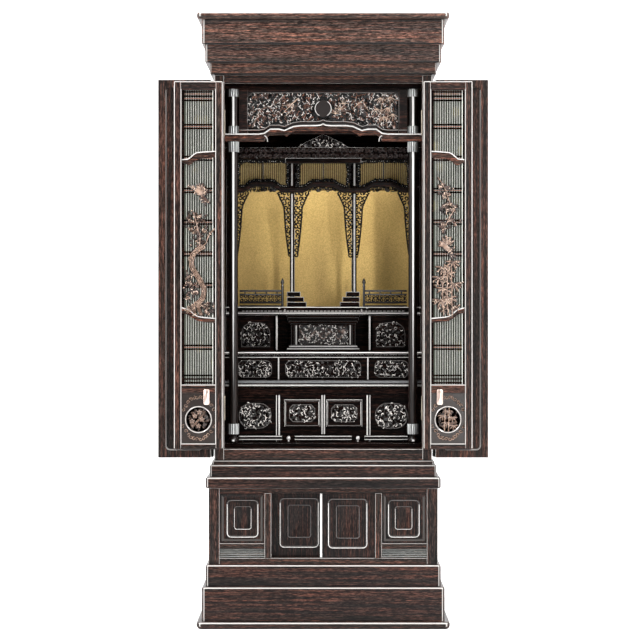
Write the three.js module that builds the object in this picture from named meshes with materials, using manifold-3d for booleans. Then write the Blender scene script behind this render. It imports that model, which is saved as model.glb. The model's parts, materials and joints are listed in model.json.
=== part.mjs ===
// A household altar cabinet: a plinth, a low cabinet with sliding doors, and a tall body that holds a carved
// three-bay altar behind folding outer doors and folding lattice screens. Millimetres, +Z up, front towards
// -Y. The doors stand open, folded back on both sides, as in use.
import * as THREE from 'three';
import { mergeVertices } from 'three/addons/utils/BufferGeometryUtils.js';
import Module from 'manifold-3d';

const wasm = await Module();
wasm.setup();

// Heights of the stacked parts, from the floor up
const footHeight = 15.5;
const lowerPlinthHeight = 75.5;
const upperPlinthHeight = 48;
const lowerCaseHeight = 169;
const tableTopHeight = 25;
const mouldingHeight = 26.5;
const beadHeight = 9;
const bodyHeight = 856.5;
const corniceHeights = [25, 40, 54];
const topBoardHeight = 16;

// Plan of the body, and how far the other parts reach beyond it at the front and the sides
const bodyWidth = 484;
const bodyDepth = 412.5;
const footReach = 37.5;
const lowerPlinthReach = 26.5;
const upperPlinthReach = 18.5;
const lowerCaseReach = 12;
const tableTopReach = 18.5;
const mouldingReach = 9.5;
const beadReach = 4.5;
const corniceReaches = [9, 19.5, 26.5];
const topBoardReach = 37;
const plinthCorner = 14;
const boardEdge = 5;
const frameWall = 32;

// Boards of the body and of the low cabinet
const sideWall = 15;
const backWall = 9;
const floorBoard = 12;
const ceilingBoard = 14;
const frontFrameDepth = 20;
const bodyStile = 22.5;
const topRail = 16.5;
const sillRail = 25.5;
const lowerFrameDepth = 34;
const lowerStile = 24.5;
const lowerMullion = 15;
const lowerTopRail = 11.5;
const lowerBottomRail = 14;
const reedHeight = 20;
const reedCount = 4;
const slidingOpening = 230;
const slidingOverlap = 14;
const slidingDoorThick = 10;
const slidingClear = 1;
const railUnderPanel = 13;
const sidePanelMargin = 13.5;
const sidePanelRise = 3;
const slidingDoorMargin = 17;
const slidingDoorRise = 1.3;
const raisedStep = 16;
const raisedCorner = 6;

// Outer folding doors
const outerThick = 18;
const outerBelowTop = 10.5;
const outerAboveBottom = 6;
const outerPivotOut = 3.5;
const outerSideClear = 2.5;
const outerFrameWidth = 18;
const doorSink = 4;
const doorCorner = 9;
const leafGap = 1;

// Inner folding screens
const screenThick = 14;
const screenBottomClear = 1.5;
const screenTopClear = 1;
const screenStile = 17.5;
const screenTopRail = 20;
const screenMidRail = 20;
const screenBottomRail = 13.5;
const screenLowerPanel = 110;
const gauzeThick = 1;
const gauzeDepth = 9;
const latticeBar = 2.2;
const latticeBarDepth = 3;
const carvingFront = 1.5;
const wavyRail = 11;
const wavyRailFront = 3;
const medallionRadius = 30;
const medallionRim = 4;
const tagWidth = 13;
const tagHeight = 34;
const tagThick = 1.5;
const tagFromFreeEdge = 36;
const tagBelowRail = 11;

// Inner front: distances behind the front face of the body, with the beam hung from the ceiling
const innerFloorStep = 10;
const innerFloorStart = 35;
const lowBarAhead = 9;
const lowBarHalf = 64;
const lowBarHeight = 9;
const lowBarThick = 8;
const lowBarFoot = 6;
const pillarFromWall = 25.5;
const pillarSetBack = 48;
const pillarRadius = 10;
const capRadius = 12.5;
const pillarSides = 12;
const pillarFoot = 20;
const pillarCap = 23;
const postCap = 17;
const beamFront = 40;
const beamThick = 16;
const beamBelowCeiling = 131;
const beamEnd = 18;
const beamPeak = 23;
const lintelHeight = 13;
const lintelThick = 30;
const transomFront = 43;
const transomStile = 19;
const transomRail = 7;
const gableFront = 100;
const gableBelowBeam = 34;
const gableBand = 26;
const gablePeak = 30;
const gablePeakHalf = 58;
const gableBar = 11;
const gableBarHalf = 86;
const gableBarAhead = 12;

// Altar: depths behind the front face of the body, heights of its tiers, and widths
const lowerTierFront = 75;
const middleTierFront = 120;
const upperTierFront = 190;
const canopyFront = 222;
const altarBackClear = 25.5;
const lowerTierHeight = 139;
const middleTierHeight = 63;
const upperTierHeight = 84;
const platformThick = 19;
const canopyBelowBeam = 17;
const canopyHeight = 93;
const archSpring = 62;
const canopyThick = 10;
const canopySink = 5;
const canopyRail = 16;
const tierBoard = 8;
const tierFieldToWall = 37;
const carvingProud = 4;
const fieldProud = 1.5;
const shelfThick = 13;
const lowerShelfReach = 9;
const middleShelfReach = 5;
const bayAxis = 73;
const innerPillarWidth = 10;
const altarTableHalf = 85;
const altarTableCore = 62;
const altarTableStep = 8;
const recessHalf = 108;
const recessDepth = 60;
const railingBehind = 12;
const railingInner = 102;
const railingToWall = 32;
const railingHeight = 40;
const finialHeight = 68;

// Places that follow from the sizes above
const backY = (bodyDepth + footReach) / 2;
const frontY = backY - bodyDepth;
const halfBody = bodyWidth / 2;
const lowerPlinthTop = footHeight + lowerPlinthHeight;
const upperPlinthTop = lowerPlinthTop + upperPlinthHeight;
const lowerCaseTop = upperPlinthTop + lowerCaseHeight;
const tableTopZ = lowerCaseTop + tableTopHeight;
const mouldingTop = tableTopZ + mouldingHeight;
const bodyBottom = mouldingTop + beadHeight;
const bodyTop = bodyBottom + bodyHeight;
const openingBottom = bodyBottom + sillRail;
const openingTop = bodyTop - topRail;
const openingHalf = halfBody - bodyStile;
const innerHalf = halfBody - sideWall;
const innerBackY = backY - backWall;
const ceilingZ = bodyTop - ceilingBoard;
const innerFloorZ = openingBottom + innerFloorStep;
const beamBottom = ceilingZ - beamBelowCeiling;
const pillarAxis = innerHalf - pillarFromWall;
const fieldEnd = innerHalf - tierFieldToWall;
const canopyTop = beamBottom - canopyBelowBeam;
const canopyBottom = canopyTop - canopyHeight;
const lowerTierTop = innerFloorZ + lowerTierHeight;
const middleTierTop = lowerTierTop + middleTierHeight;
const platformBottom = middleTierTop + upperTierHeight;
const platformTop = platformBottom + platformThick;
// Folded flat, the outer doors' second leaves stop short of the body's sides by outerSideClear
const outerFirstWidth = (halfBody - 1.5 * leafGap - 2 * outerPivotOut + outerSideClear) / 2;
const screenFirstWidth = (openingHalf - leafGap / 2) / 2;
const outerHeight = bodyHeight - outerBelowTop - outerAboveBottom;
const lowerFrontY = frontY - lowerCaseReach;
const lowerHalf = halfBody + lowerCaseReach;

const finishes = {
  wood: { color: 0x3c2b28, roughness: 0.3, metalness: 0 },
  carving: { color: 0x6b4434, roughness: 0.5, metalness: 0 },
  gold: { color: 0xc8a55a, roughness: 0.4, metalness: 0.8 },
  metal: { color: 0xc9a79a, roughness: 0.3, metalness: 0.9 },
};
const materials = {};
for (const [slot, finish] of Object.entries(finishes)) {
  materials[slot] = new THREE.MeshStandardMaterial(finish);
}

const cabinet = new THREE.Group();

// Faces that meet share one grid, so that neighbours touch exactly
const gridStep = 1 / 128;
const snap = (value) => Math.round(value / gridStep) * gridStep;

function toSolid(geometry) {
  const bare = geometry.clone();
  bare.deleteAttribute('normal');
  bare.deleteAttribute('uv');
  const merged = mergeVertices(bare);
  return new wasm.Manifold(new wasm.Mesh({
    numProp: 3,
    vertProperties: new Float32Array(merged.attributes.position.array),
    triVerts: new Uint32Array(merged.index.array),
  }));
}

function toGeometry(solid) {
  const mesh = solid.getMesh();
  const geometry = new THREE.BufferGeometry();
  geometry.setAttribute('position', new THREE.BufferAttribute(new Float32Array(mesh.vertProperties), 3));
  geometry.setIndex(Array.from(mesh.triVerts));
  return geometry;
}

function join(...geometries) {
  return toGeometry(geometries.flat(Infinity).map(toSolid).reduce((whole, part) => whole.add(part)));
}

function cut(geometry, ...tools) {
  const solids = tools.flat(Infinity).map(toSolid);
  return toGeometry(solids.reduce((rest, tool) => rest.subtract(tool), toSolid(geometry)));
}

function keepWithin(geometry, room) {
  return toGeometry(toSolid(geometry).intersect(toSolid(room)));
}

function box(xs, ys, zs) {
  const low = [xs, ys, zs].map((span) => snap(Math.min(...span)));
  const size = [xs, ys, zs].map((span, i) => snap(Math.max(...span)) - low[i]);
  return new THREE.BoxGeometry(1, 1, 1).translate(0.5, 0.5, 0.5).scale(...size).translate(...low);
}

// A shape drawn in x and z, carried along y
function prism(shape, y0, y1, segments = 1) {
  const depth = snap(y1) - snap(y0);
  const geometry = new THREE.ExtrudeGeometry(shape, { depth, bevelEnabled: false, curveSegments: segments });
  return geometry.rotateX(Math.PI / 2).translate(0, snap(y1), 0);
}

// A shape drawn in x and y, carried up z
function slab(shape, z0, z1, edge = 0) {
  const bevel = snap(edge);
  const geometry = new THREE.ExtrudeGeometry(shape, {
    depth: snap(z1) - snap(z0) - 2 * bevel,
    bevelEnabled: bevel > 0,
    bevelThickness: bevel,
    bevelSize: bevel,
    bevelOffset: -bevel,
    bevelSegments: 2,
    curveSegments: 2,
  });
  return geometry.translate(0, 0, snap(z0) + bevel);
}

function turned(profile, x, y, sides) {
  const points = profile.map(([r, z]) => new THREE.Vector2(r, z));
  return new THREE.LatheGeometry(points, sides).rotateX(Math.PI / 2).translate(x, y, 0);
}

// The other side's copy of a piece, with its faces still pointing out
function mirrored(geometry) {
  const copy = geometry.index ? geometry.clone() : mergeVertices(geometry);
  copy.scale(-1, 1, 1);
  const order = copy.index.array;
  for (let i = 0; i < order.length; i += 3) [order[i], order[i + 1]] = [order[i + 1], order[i]];
  return copy;
}

function add(name, geometry, slot, parent = cabinet) {
  const mesh = new THREE.Mesh(geometry, materials[slot]);
  mesh.name = name;
  parent.add(mesh);
}

// A rectangle with each corner rounded by its own radius: low left, low right, high right, high left
function rounded([x0, x1], [y0, y1], radii) {
  const [a, b, c, d] = Array.isArray(radii) ? radii : [radii, radii, radii, radii];
  const shape = new THREE.Shape();
  shape.moveTo(x0 + a, y0);
  shape.lineTo(x1 - b, y0);
  if (b) shape.absarc(x1 - b, y0 + b, b, -Math.PI / 2, 0);
  shape.lineTo(x1, y1 - c);
  if (c) shape.absarc(x1 - c, y1 - c, c, 0, Math.PI / 2);
  shape.lineTo(x0 + d, y1);
  if (d) shape.absarc(x0 + d, y1 - d, d, Math.PI / 2, Math.PI);
  shape.lineTo(x0, y0 + a);
  if (a) shape.absarc(x0 + a, y0 + a, a, Math.PI, Math.PI * 1.5);
  return shape;
}

function polygon(points) {
  return new THREE.Shape(points.map(([x, y]) => new THREE.Vector2(x, y)));
}

function oval(x, y, rx, ry, turn = 0, count = 8) {
  return polygon(Array.from({ length: count }, (_, i) => {
    const t = (i / count) * 2 * Math.PI;
    const [a, b] = [rx * Math.cos(t), ry * Math.sin(t)];
    return [x + a * Math.cos(turn) - b * Math.sin(turn), y + a * Math.sin(turn) + b * Math.cos(turn)];
  }));
}

// A pointed leaf that starts at x, y and runs along its angle
function leaf(x, y, length, width, angle) {
  const outline = [[-0.08, -0.14], [0.45, -0.5], [1, 0], [0.45, 0.5], [-0.08, 0.14]];
  return polygon(outline.map(([along, across]) => [
    x + along * length * Math.cos(angle) - across * width * Math.sin(angle),
    y + along * length * Math.sin(angle) + across * width * Math.cos(angle),
  ]));
}

function blossom(x, y, radius) {
  const petals = 5;
  return polygon(Array.from({ length: petals * 2 }, (_, i) => {
    const t = (i / (petals * 2)) * 2 * Math.PI;
    const r = i % 2 ? radius * 0.55 : radius;
    return [x + r * Math.cos(t), y + r * Math.sin(t)];
  }));
}

// A band of even width along a smooth line through the points
function branch(points, width, steps = 6) {
  const line = new THREE.SplineCurve(points.map(([x, y]) => new THREE.Vector2(x, y)));
  const sides = [[], []];
  for (let i = 0; i <= steps; i += 1) {
    const at = line.getPoint(i / steps);
    const along = line.getTangent(i / steps);
    sides[0].push([at.x - (along.y * width) / 2, at.y + (along.x * width) / 2]);
    sides[1].unshift([at.x + (along.y * width) / 2, at.y - (along.x * width) / 2]);
  }
  return polygon([...sides[1].reverse(), ...sides[0].reverse()]);
}

function bird(x, y, size, facing) {
  return [
    oval(x, y, size * 0.42, size * 0.2, 0.5 * facing),
    oval(x + 0.38 * size * facing, y + size * 0.26, size * 0.14, size * 0.13, 0, 6),
    leaf(x - 0.1 * size * facing, y, size * 0.62, size * 0.26, facing > 0 ? 2.1 : 1.04),
    leaf(x - 0.25 * size * facing, y - size * 0.1, size * 0.5, size * 0.2, facing > 0 ? 3.6 : -0.46),
  ];
}

function fan(x, y, length, width, count, middle, spread) {
  return Array.from({ length: count }, (_, i) => (
    leaf(x, y, length, width, middle + spread * (i / (count - 1) - 0.5))
  ));
}

// A leafy twig: a stem with leaves in turn on its two sides
function twig(x, y, length, angle, leaves) {
  const at = (share) => [x + share * length * Math.cos(angle), y + share * length * Math.sin(angle)];
  const stem = leaf(x, y, length, length * 0.12, angle);
  const blades = Array.from({ length: leaves }, (_, i) => (
    leaf(...at((i + 0.6) / (leaves + 0.4)), length * 0.36, length * 0.17, angle + (i % 2 ? 0.95 : -0.95))
  ));
  return [stem, ...blades];
}

// Scroll carving across a panel: a wave with a leaf at every crest
function scrollwork(x0, x1, z0, z1, pitch) {
  const tall = z1 - z0;
  const mid = (z0 + z1) / 2;
  const turns = Math.max(2, Math.round((x1 - x0) / pitch));
  const points = Array.from({ length: turns + 1 }, (_, i) => (
    [x0 + ((x1 - x0) * i) / turns, mid + tall * 0.2 * (i % 2 ? 1 : -1)]
  ));
  const wave = branch(points, tall * 0.14, turns * 2);
  const leaves = points.slice(1, -1).map(([x, z], i) => (
    leaf(x, z, tall * 0.5, tall * 0.28, (i % 2 ? 1 : -1) * (i < turns / 2 ? 1.1 : 2))
  ));
  return [wave, ...leaves];
}

function relief(shapes, y0, y1) {
  return shapes.flat(Infinity).map((shape) => prism(shape, y0, y1));
}

// Plinth, boards and cornice: frames with mitred corners, open in the middle
function reachSpan(reach) {
  return { xs: [-halfBody - reach, halfBody + reach], ys: [frontY - reach, backY] };
}

function plan(reach, corner) {
  const { xs, ys } = reachSpan(reach);
  return rounded(xs, ys, [corner, corner, 0, 0]);
}

function openFrame(reach, z0, z1, corner = 0, edge = 0) {
  const { xs, ys } = reachSpan(reach);
  const within = ([low, high]) => [low + frameWall, high - frameWall];
  const hole = box(within(xs), within(ys), [z0 - 1, z1 + 1]);
  return cut(slab(plan(reach, corner), z0, z1, edge), hole);
}

function addBase() {
  const foot = openFrame(footReach, 0, footHeight, plinthCorner, boardEdge);
  const plinth = openFrame(lowerPlinthReach, footHeight, lowerPlinthTop, plinthCorner);
  add('lower_plinth', join(foot, plinth), 'wood');
  add('upper_plinth', openFrame(upperPlinthReach, lowerPlinthTop, upperPlinthTop), 'wood');
}

function addHead() {
  const names = ['cornice_lower', 'cornice_middle', 'cornice_upper'];
  let z = bodyTop;
  names.forEach((name, i) => {
    const corner = i === names.length - 1 ? plinthCorner : 0;
    add(name, openFrame(corniceReaches[i], z, z + corniceHeights[i], corner), 'wood');
    z += corniceHeights[i];
  });
  add('top_board', slab(plan(topBoardReach, plinthCorner), z, z + topBoardHeight, boardEdge), 'wood');
}

// A board with a raised field, whose edges step up from the board
function raisedPanel(xs, zs, y0, y1, margin, rise) {
  const inset = (by) => rounded([xs[0] + by, xs[1] - by], [zs[0] + by, zs[1] - by], raisedCorner);
  return join(
    box(xs, [y0, y1], zs),
    prism(inset(margin), y0 - rise, y0 + 1),
    prism(inset(margin + raisedStep), y0 - rise * 1.5, y0 + 1),
  );
}

function addLowerCase() {
  const zs = [upperPlinthTop, lowerCaseTop];
  const behind = lowerFrontY + lowerFrameDepth;
  const doorHalf = slidingOpening / 2;
  const panelXs = [doorHalf + lowerMullion, lowerHalf - lowerStile];
  const openingZs = [zs[0] + lowerBottomRail, zs[1] - lowerTopRail];
  const reedTop = openingZs[0] + reedHeight;
  const panelZs = [reedTop + railUnderPanel, openingZs[1]];
  const panelCut = box(panelXs, [lowerFrontY - 1, behind + 1], panelZs);
  const bandCut = box(panelXs, [lowerFrontY - 1, lowerFrontY + 5], [openingZs[0], reedTop]);
  const reedStep = reedHeight / reedCount;
  const reeds = Array.from({ length: reedCount }, (_, i) => {
    const z = openingZs[0] + (i + 0.5) * reedStep;
    return box(panelXs, [lowerFrontY + 2.5, lowerFrontY + 6], [z - reedStep * 0.32, z + reedStep * 0.32]);
  });
  const frame = cut(
    box([-lowerHalf, lowerHalf], [lowerFrontY, behind], zs),
    box([-doorHalf, doorHalf], [lowerFrontY - 1, behind + 1], openingZs),
    [panelCut, mirrored(panelCut), bandCut, mirrored(bandCut)],
  );
  add('lower_front_frame', join(frame, reeds, reeds.map(mirrored)), 'wood');

  const side = box([lowerHalf - floorBoard, lowerHalf], [behind, backY - backWall], zs);
  add('lower_side_left', mirrored(side), 'wood');
  add('lower_side_right', side, 'wood');
  add('lower_back', box([-lowerHalf, lowerHalf], [backY - backWall, backY], zs), 'wood');
  const floorXs = [-lowerHalf + floorBoard, lowerHalf - floorBoard];
  add('lower_floor', box(floorXs, [behind, backY - backWall], [zs[0], zs[0] + floorBoard]), 'wood');

  const panelYs = [lowerFrontY + 8, lowerFrontY + 18];
  const panel = raisedPanel(panelXs, panelZs, ...panelYs, sidePanelMargin, sidePanelRise);
  add('lower_panel_left', mirrored(panel), 'wood');
  add('lower_panel_right', panel, 'wood');
  add('table_top', slab(plan(tableTopReach, boardEdge + 2), lowerCaseTop, tableTopZ, boardEdge), 'wood');

  // The left door runs on the back track and the right one on the front track
  const doorZs = [openingZs[0] + slidingClear, openingZs[1] - slidingClear];
  const farX = doorHalf - slidingClear / 2;
  const slidingDoorWidth = farX + slidingOverlap / 2;
  const frontTrack = lowerFrontY + 7;
  const backTrack = frontTrack + slidingDoorThick + 3;
  const slidingDoor = (x0, y0) => raisedPanel(
    [x0, x0 + slidingDoorWidth], doorZs, y0, y0 + slidingDoorThick - 2, slidingDoorMargin, slidingDoorRise,
  );
  add('sliding_door_left', slidingDoor(-farX, backTrack), 'wood');
  add('sliding_door_right', slidingDoor(farX - slidingDoorWidth, frontTrack), 'wood');
}

function addBody() {
  const moulding = openFrame(mouldingReach, tableTopZ, mouldingTop);
  const bead = openFrame(beadReach, mouldingTop, bodyBottom);
  add('moulding_frame', join(moulding, bead), 'wood');
  const zs = [bodyBottom, bodyTop];
  const behind = frontY + frontFrameDepth;
  const opening = box([-openingHalf, openingHalf], [frontY - 1, behind + 1], [openingBottom, openingTop]);
  add('body_front_frame', cut(box([-halfBody, halfBody], [frontY, behind], zs), opening), 'wood');
  const side = box([innerHalf, halfBody], [behind, innerBackY], zs);
  add('body_side_left', mirrored(side), 'wood');
  add('body_side_right', side, 'wood');
  add('body_back', box([-halfBody, halfBody], [innerBackY, backY], zs), 'wood');
  const across = [-innerHalf, innerHalf];
  add('body_floor', box(across, [behind, innerBackY], [openingBottom - floorBoard, openingBottom]), 'wood');
  add('body_ceiling', box(across, [behind, innerBackY], [ceilingZ, bodyTop]), 'wood');
}

// A low bar on two feet, laid along the front edge of the inner floor
function lowBar(xs, y) {
  const half = lowBarThick / 2;
  const foot = lowBarFoot / 2;
  const feet = [xs[0] + lowBarFoot, xs[1] - lowBarFoot].map((x) => (
    box([x - foot, x + foot], [y - foot, y + foot], [innerFloorZ - 1, innerFloorZ + lowBarFoot + 1])
  ));
  const zs = [innerFloorZ + lowBarFoot, innerFloorZ + lowBarFoot + lowBarHeight];
  return [box(xs, [y - half, y + half], zs), ...feet];
}

function addInnerFront() {
  const y = frontY + pillarSetBack;
  const across = [-innerHalf, innerHalf];
  const barY = frontY + lowerTierFront - lowBarAhead;
  const floor = box(across, [frontY + innerFloorStart, innerBackY], [openingBottom, innerFloorZ]);
  const sideBar = lowBar([bayAxis + 2 * innerPillarWidth, fieldEnd], barY);
  const centreBar = lowBar([-lowBarHalf, lowBarHalf], barY);
  add('inner_floor', join(floor, sideBar, sideBar.map(mirrored), centreBar), 'wood');

  const footTop = innerFloorZ + pillarFoot;
  const top = beamBottom;
  const r = pillarRadius;
  const profile = [
    [0, innerFloorZ], [r, innerFloorZ], [capRadius, innerFloorZ + 5], [r - 1, footTop - 4],
    [capRadius, footTop], [capRadius, footTop + pillarCap], [r, footTop + pillarCap],
    [r, top - pillarCap], [capRadius, top - pillarCap], [capRadius, top], [0, top],
  ];
  add('front_pillar_left', turned(profile, -pillarAxis, y, pillarSides), 'wood');
  add('front_pillar_right', turned(profile, pillarAxis, y, pillarSides), 'wood');

  const postBottom = beamBottom + beamEnd;
  const railBottom = ceilingZ - lintelHeight;
  const postProfile = [
    [0, postBottom], [capRadius, postBottom], [capRadius, postBottom + postCap],
    [r, postBottom + postCap], [r, railBottom - postCap], [capRadius, railBottom - postCap],
    [capRadius, railBottom + 1], [0, railBottom + 1],
  ];
  const posts = [-pillarAxis, pillarAxis].map((x) => turned(postProfile, x, y, pillarSides));
  const rail = box(across, [y - lintelThick / 2, y + lintelThick / 2], [railBottom, ceilingZ]);
  add('inner_lintel', join(rail, posts), 'wood');
}

// The beam's lobed lines: the distance from the middle as a share of the half width inside, and the height
// above the line's straight end as a share of the peak
const lobes = [
  [0.634, 0], [0.581, 0.09], [0.524, 0.48], [0.436, 0.48], [0.383, 0.35], [0.344, 0.52], [0.295, 0.74],
  [0.22, 0.83], [0.075, 0.83], [0.026, 0.87],
];
const underLobes = [
  [0.581, 0.04], [0.564, 0.39], [0.529, 0.65], [0.388, 0.65], [0.361, 0.52], [0.326, 0.78], [0.278, 1.04],
  [0.035, 1.04],
];

function addBeamAndTransom() {
  const straightTop = beamBottom + beamEnd;
  const half = (line, z, side) => line.map(([x, rise]) => [x * side * innerHalf, z + rise * beamPeak]);
  const topLine = [
    ...half(lobes, straightTop, -1), [0, straightTop + beamPeak], ...half(lobes, straightTop, 1).reverse(),
  ];
  const underLine = [...half(underLobes, beamBottom, 1), ...half(underLobes, beamBottom, -1).reverse()];
  const beam = polygon([
    [-innerHalf, beamBottom], [-innerHalf, straightTop], ...topLine, [innerHalf, straightTop],
    [innerHalf, beamBottom], ...underLine,
  ].reverse());
  const y = frontY + beamFront;
  add('rainbow_beam', prism(beam, y, y + beamThick), 'wood');

  const carvedY = frontY + transomFront;
  const top = ceilingZ - lintelHeight;
  const w = pillarAxis - capRadius;
  const board = polygon([[-w, top], [-w, straightTop], ...topLine, [w, straightTop], [w, top]]);
  const low = straightTop + beamPeak + transomRail / 2;
  const high = top - transomRail;
  const ground = y + tierBoard;
  const field = box([-w + transomStile, w - transomStile], [y - 1, ground], [low, high]);
  const tall = high - low;
  const at = (x, z) => [x * w, low + z * tall];
  const leftCarving = [
    branch([at(-0.87, 0.17), at(-0.71, 0.61), at(-0.53, 0.41), at(-0.37, 0.7)], tall * 0.07, 5),
    bird(...at(-0.41, 0.58), tall * 0.75, -1),
    [-0.77, -0.59].map((x) => blossom(...at(x, 0.83), tall * 0.14)),
    fan(...at(-0.24, 0.03), tall * 0.6, tall * 0.14, 3, 1.5, 1.6),
  ];
  const rightCarving = [
    fan(...at(0.23, 0.36), tall * 0.5, tall * 0.18, 3, 1.57, 1.8), bird(...at(0.49, 0.56), tall * 0.7, -1),
    branch([at(0.68, 0), at(0.72, 0.5), at(0.74, 1)], tall * 0.06, 2),
    branch([at(0.79, 0), at(0.815, 0.5), at(0.85, 1)], tall * 0.06, 2),
    fan(...at(0.73, 0.88), tall * 0.4, tall * 0.14, 3, -1.6, 2.2),
  ];
  const disc = oval(...at(0, 0.5), tall * 0.28, tall * 0.28, 0, 12);
  const carving = relief([leftCarving, rightCarving, disc], carvedY, ground + 1);
  add('transom_carving', join(cut(prism(board, y, y + beamThick), field), carving), 'carving');
}

function addGable() {
  const y = frontY + gableFront;
  const bandBottom = beamBottom - gableBelowBeam;
  const bandTop = bandBottom + gableBand;
  const peak = polygon([
    [-gablePeakHalf, bandTop - 1], [gablePeakHalf, bandTop - 1],
    [gablePeakHalf * 0.7, bandTop + gablePeak * 0.4], [0, bandTop + gablePeak],
    [-gablePeakHalf * 0.7, bandTop + gablePeak * 0.4],
  ]);
  const band = box([-innerHalf, innerHalf], [y, y + tierBoard], [bandBottom, bandTop]);
  const bar = box([-gableBarHalf, gableBarHalf], [y - gableBarAhead, y + tierBoard],
    [bandBottom - gableBar + 1, bandBottom + 1]);
  const carving = relief([
    scrollwork(-fieldEnd, fieldEnd, bandBottom + 1, bandTop - 1, gableBand * 1.7),
    fan(0, bandTop - 2, gablePeak * 0.93, gablePeak * 0.3, 3, 1.57, 2),
  ], y - carvingProud, y + 1);
  add('gable_ornament', join(band, bar, prism(peak, y, y + tierBoard), carving), 'carving');
}

// One bay's opening: a flat arch with steps down at both sides
function archShape(centre, half, z0, z1, step) {
  const edge = [[1, 1], [0.62, 0.7], [0.45, 0]];
  const right = edge.map(([x, drop]) => [centre + half * x, z1 - step * drop]);
  const left = edge.map(([x, drop]) => [centre - half * x, z1 - step * drop]).reverse();
  return polygon([[centre - half, z0], [centre + half, z0], ...right, ...left]);
}

function addAltar() {
  const across = [-innerHalf, innerHalf];
  const bayHalf = bayAxis - innerPillarWidth + 1;
  const sideBay = (innerHalf + bayAxis + 1) / 2 - 3;
  const bays = [-sideBay, 0, sideBay];
  const canopyY = frontY + canopyFront;
  const frontFace = box(across, [canopyY, canopyY + canopyThick], [canopyBottom - archSpring, canopyTop]);
  const archHalf = bayHalf - 12;
  const arches = bays.map((x) => prism(
    archShape(x, archHalf, canopyBottom - archSpring - 8, canopyBottom + 12, 40),
    canopyY - 1,
    canopyY + canopyThick + 1,
  ));
  const windowHalf = bayHalf - 7;
  const windowZs = [canopyBottom + 32, canopyTop - canopyRail];
  const windows = bays.map((x) => (
    prism(rounded([x - windowHalf, x + windowHalf], windowZs, 7), canopyY - 1, canopyY + canopySink)
  ));
  const ribCount = 5;
  const ribStep = (2 * windowHalf) / (ribCount + 0.3);
  const ribs = bays.flatMap((x) => Array.from({ length: ribCount }, (_, i) => {
    const at = x + (i - (ribCount - 1) / 2) * ribStep;
    return box([at - ribStep / 3, at + ribStep / 3], [canopyY + canopySink - 2, canopyY + canopySink + 1],
      [windowZs[0] + 2, windowZs[1] - 2]);
  }));
  add('altar_canopy', join(cut(frontFace, arches, windows), ribs), 'carving');

  const pillarXs = [bayAxis - innerPillarWidth / 2, bayAxis + innerPillarWidth / 2];
  const pillar = box(pillarXs, [canopyY - innerPillarWidth, canopyY], [platformTop, canopyTop]);
  add('inner_pillar_left', mirrored(pillar), 'wood');
  add('inner_pillar_right', pillar, 'wood');

  const backFace = innerBackY - altarBackClear - tierBoard;
  const panel = box(across, [backFace, backFace + tierBoard], [platformTop, ceilingZ]);
  const dividerXs = [pillarXs[0] + 1, pillarXs[1] - 1];
  const divider = box(dividerXs, [backFace - 6, backFace + 1], [platformTop, ceilingZ]);
  add('altar_back_panel', join(panel, divider, mirrored(divider)), 'gold');

  const upperY = frontY + upperTierFront;
  const board = box(across, [upperY + tierBoard, innerBackY], [platformBottom, platformTop]);
  const lipReach = 6;
  const lips = [[platformBottom, platformBottom + 5], [platformTop - 6, platformTop]].flatMap((zs) => {
    const lip = box([recessHalf - lipReach, innerHalf], [upperY - lipReach, upperY + tierBoard + 1], zs);
    const middle = box([-recessHalf + 2, recessHalf - 2], [upperY, upperY + tierBoard + 1], zs);
    return [lip, mirrored(lip), middle];
  });
  add('altar_platform', join(board, lips), 'wood');
  addTiers(across, upperY);

  const right = railing(upperY + railingBehind);
  add('railing_left', mirrored(right), 'wood');
  add('railing_right', right, 'wood');
}

function railing(y) {
  const xs = [railingInner, innerHalf - railingToWall];
  const posts = [0, 0.5, 1].map((share) => {
    const x = xs[0] + 3 + (xs[1] - xs[0] - 6) * share;
    return box([x - 2, x + 2], [y - 2, y + 2], [platformTop, platformTop + railingHeight - 4]);
  });
  const rails = [railingHeight * 0.2, railingHeight - 4].map((z) => (
    box(xs, [y - 2.5, y + 2.5], [platformTop + z, platformTop + z + 4])
  ));
  const finialXs = [xs[0] - 8, xs[0] - 2];
  const knobBottom = platformTop + finialHeight - 15;
  const finial = box(finialXs, [y - 3, y + 3], [platformTop, knobBottom + 1]);
  const knobProfile = [
    [0, knobBottom], [5, knobBottom + 4], [3, knobBottom + 9], [0, platformTop + finialHeight],
  ];
  const knob = turned(knobProfile, xs[0] - 5, y, 8);
  const link = box([xs[0] - 3, xs[0] + 1], [y - 2, y + 2], [platformTop + 30, platformTop + railingHeight]);
  return join(posts, rails, finial, knob, link);
}

// A framed field of scroll carving on a tier's front
function carvedField([x0, x1], [z0, z1], y, radii) {
  const inset = (z1 - z0) * 0.1;
  const scrolls = scrollwork(x0 + 2 * inset, x1 - 2 * inset, z0 + inset, z1 - inset, z1 - z0);
  return [
    prism(rounded([x0, x1], [z0, z1], radii), y - fieldProud, y + 1),
    relief(scrolls, y - carvingProud, y + 1),
  ];
}

function upright(x, y, [z0, z1]) {
  return box([x - 2, x + 2], [y - carvingProud, y + 1], [z0 + 2, z1 - 2]);
}

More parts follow.
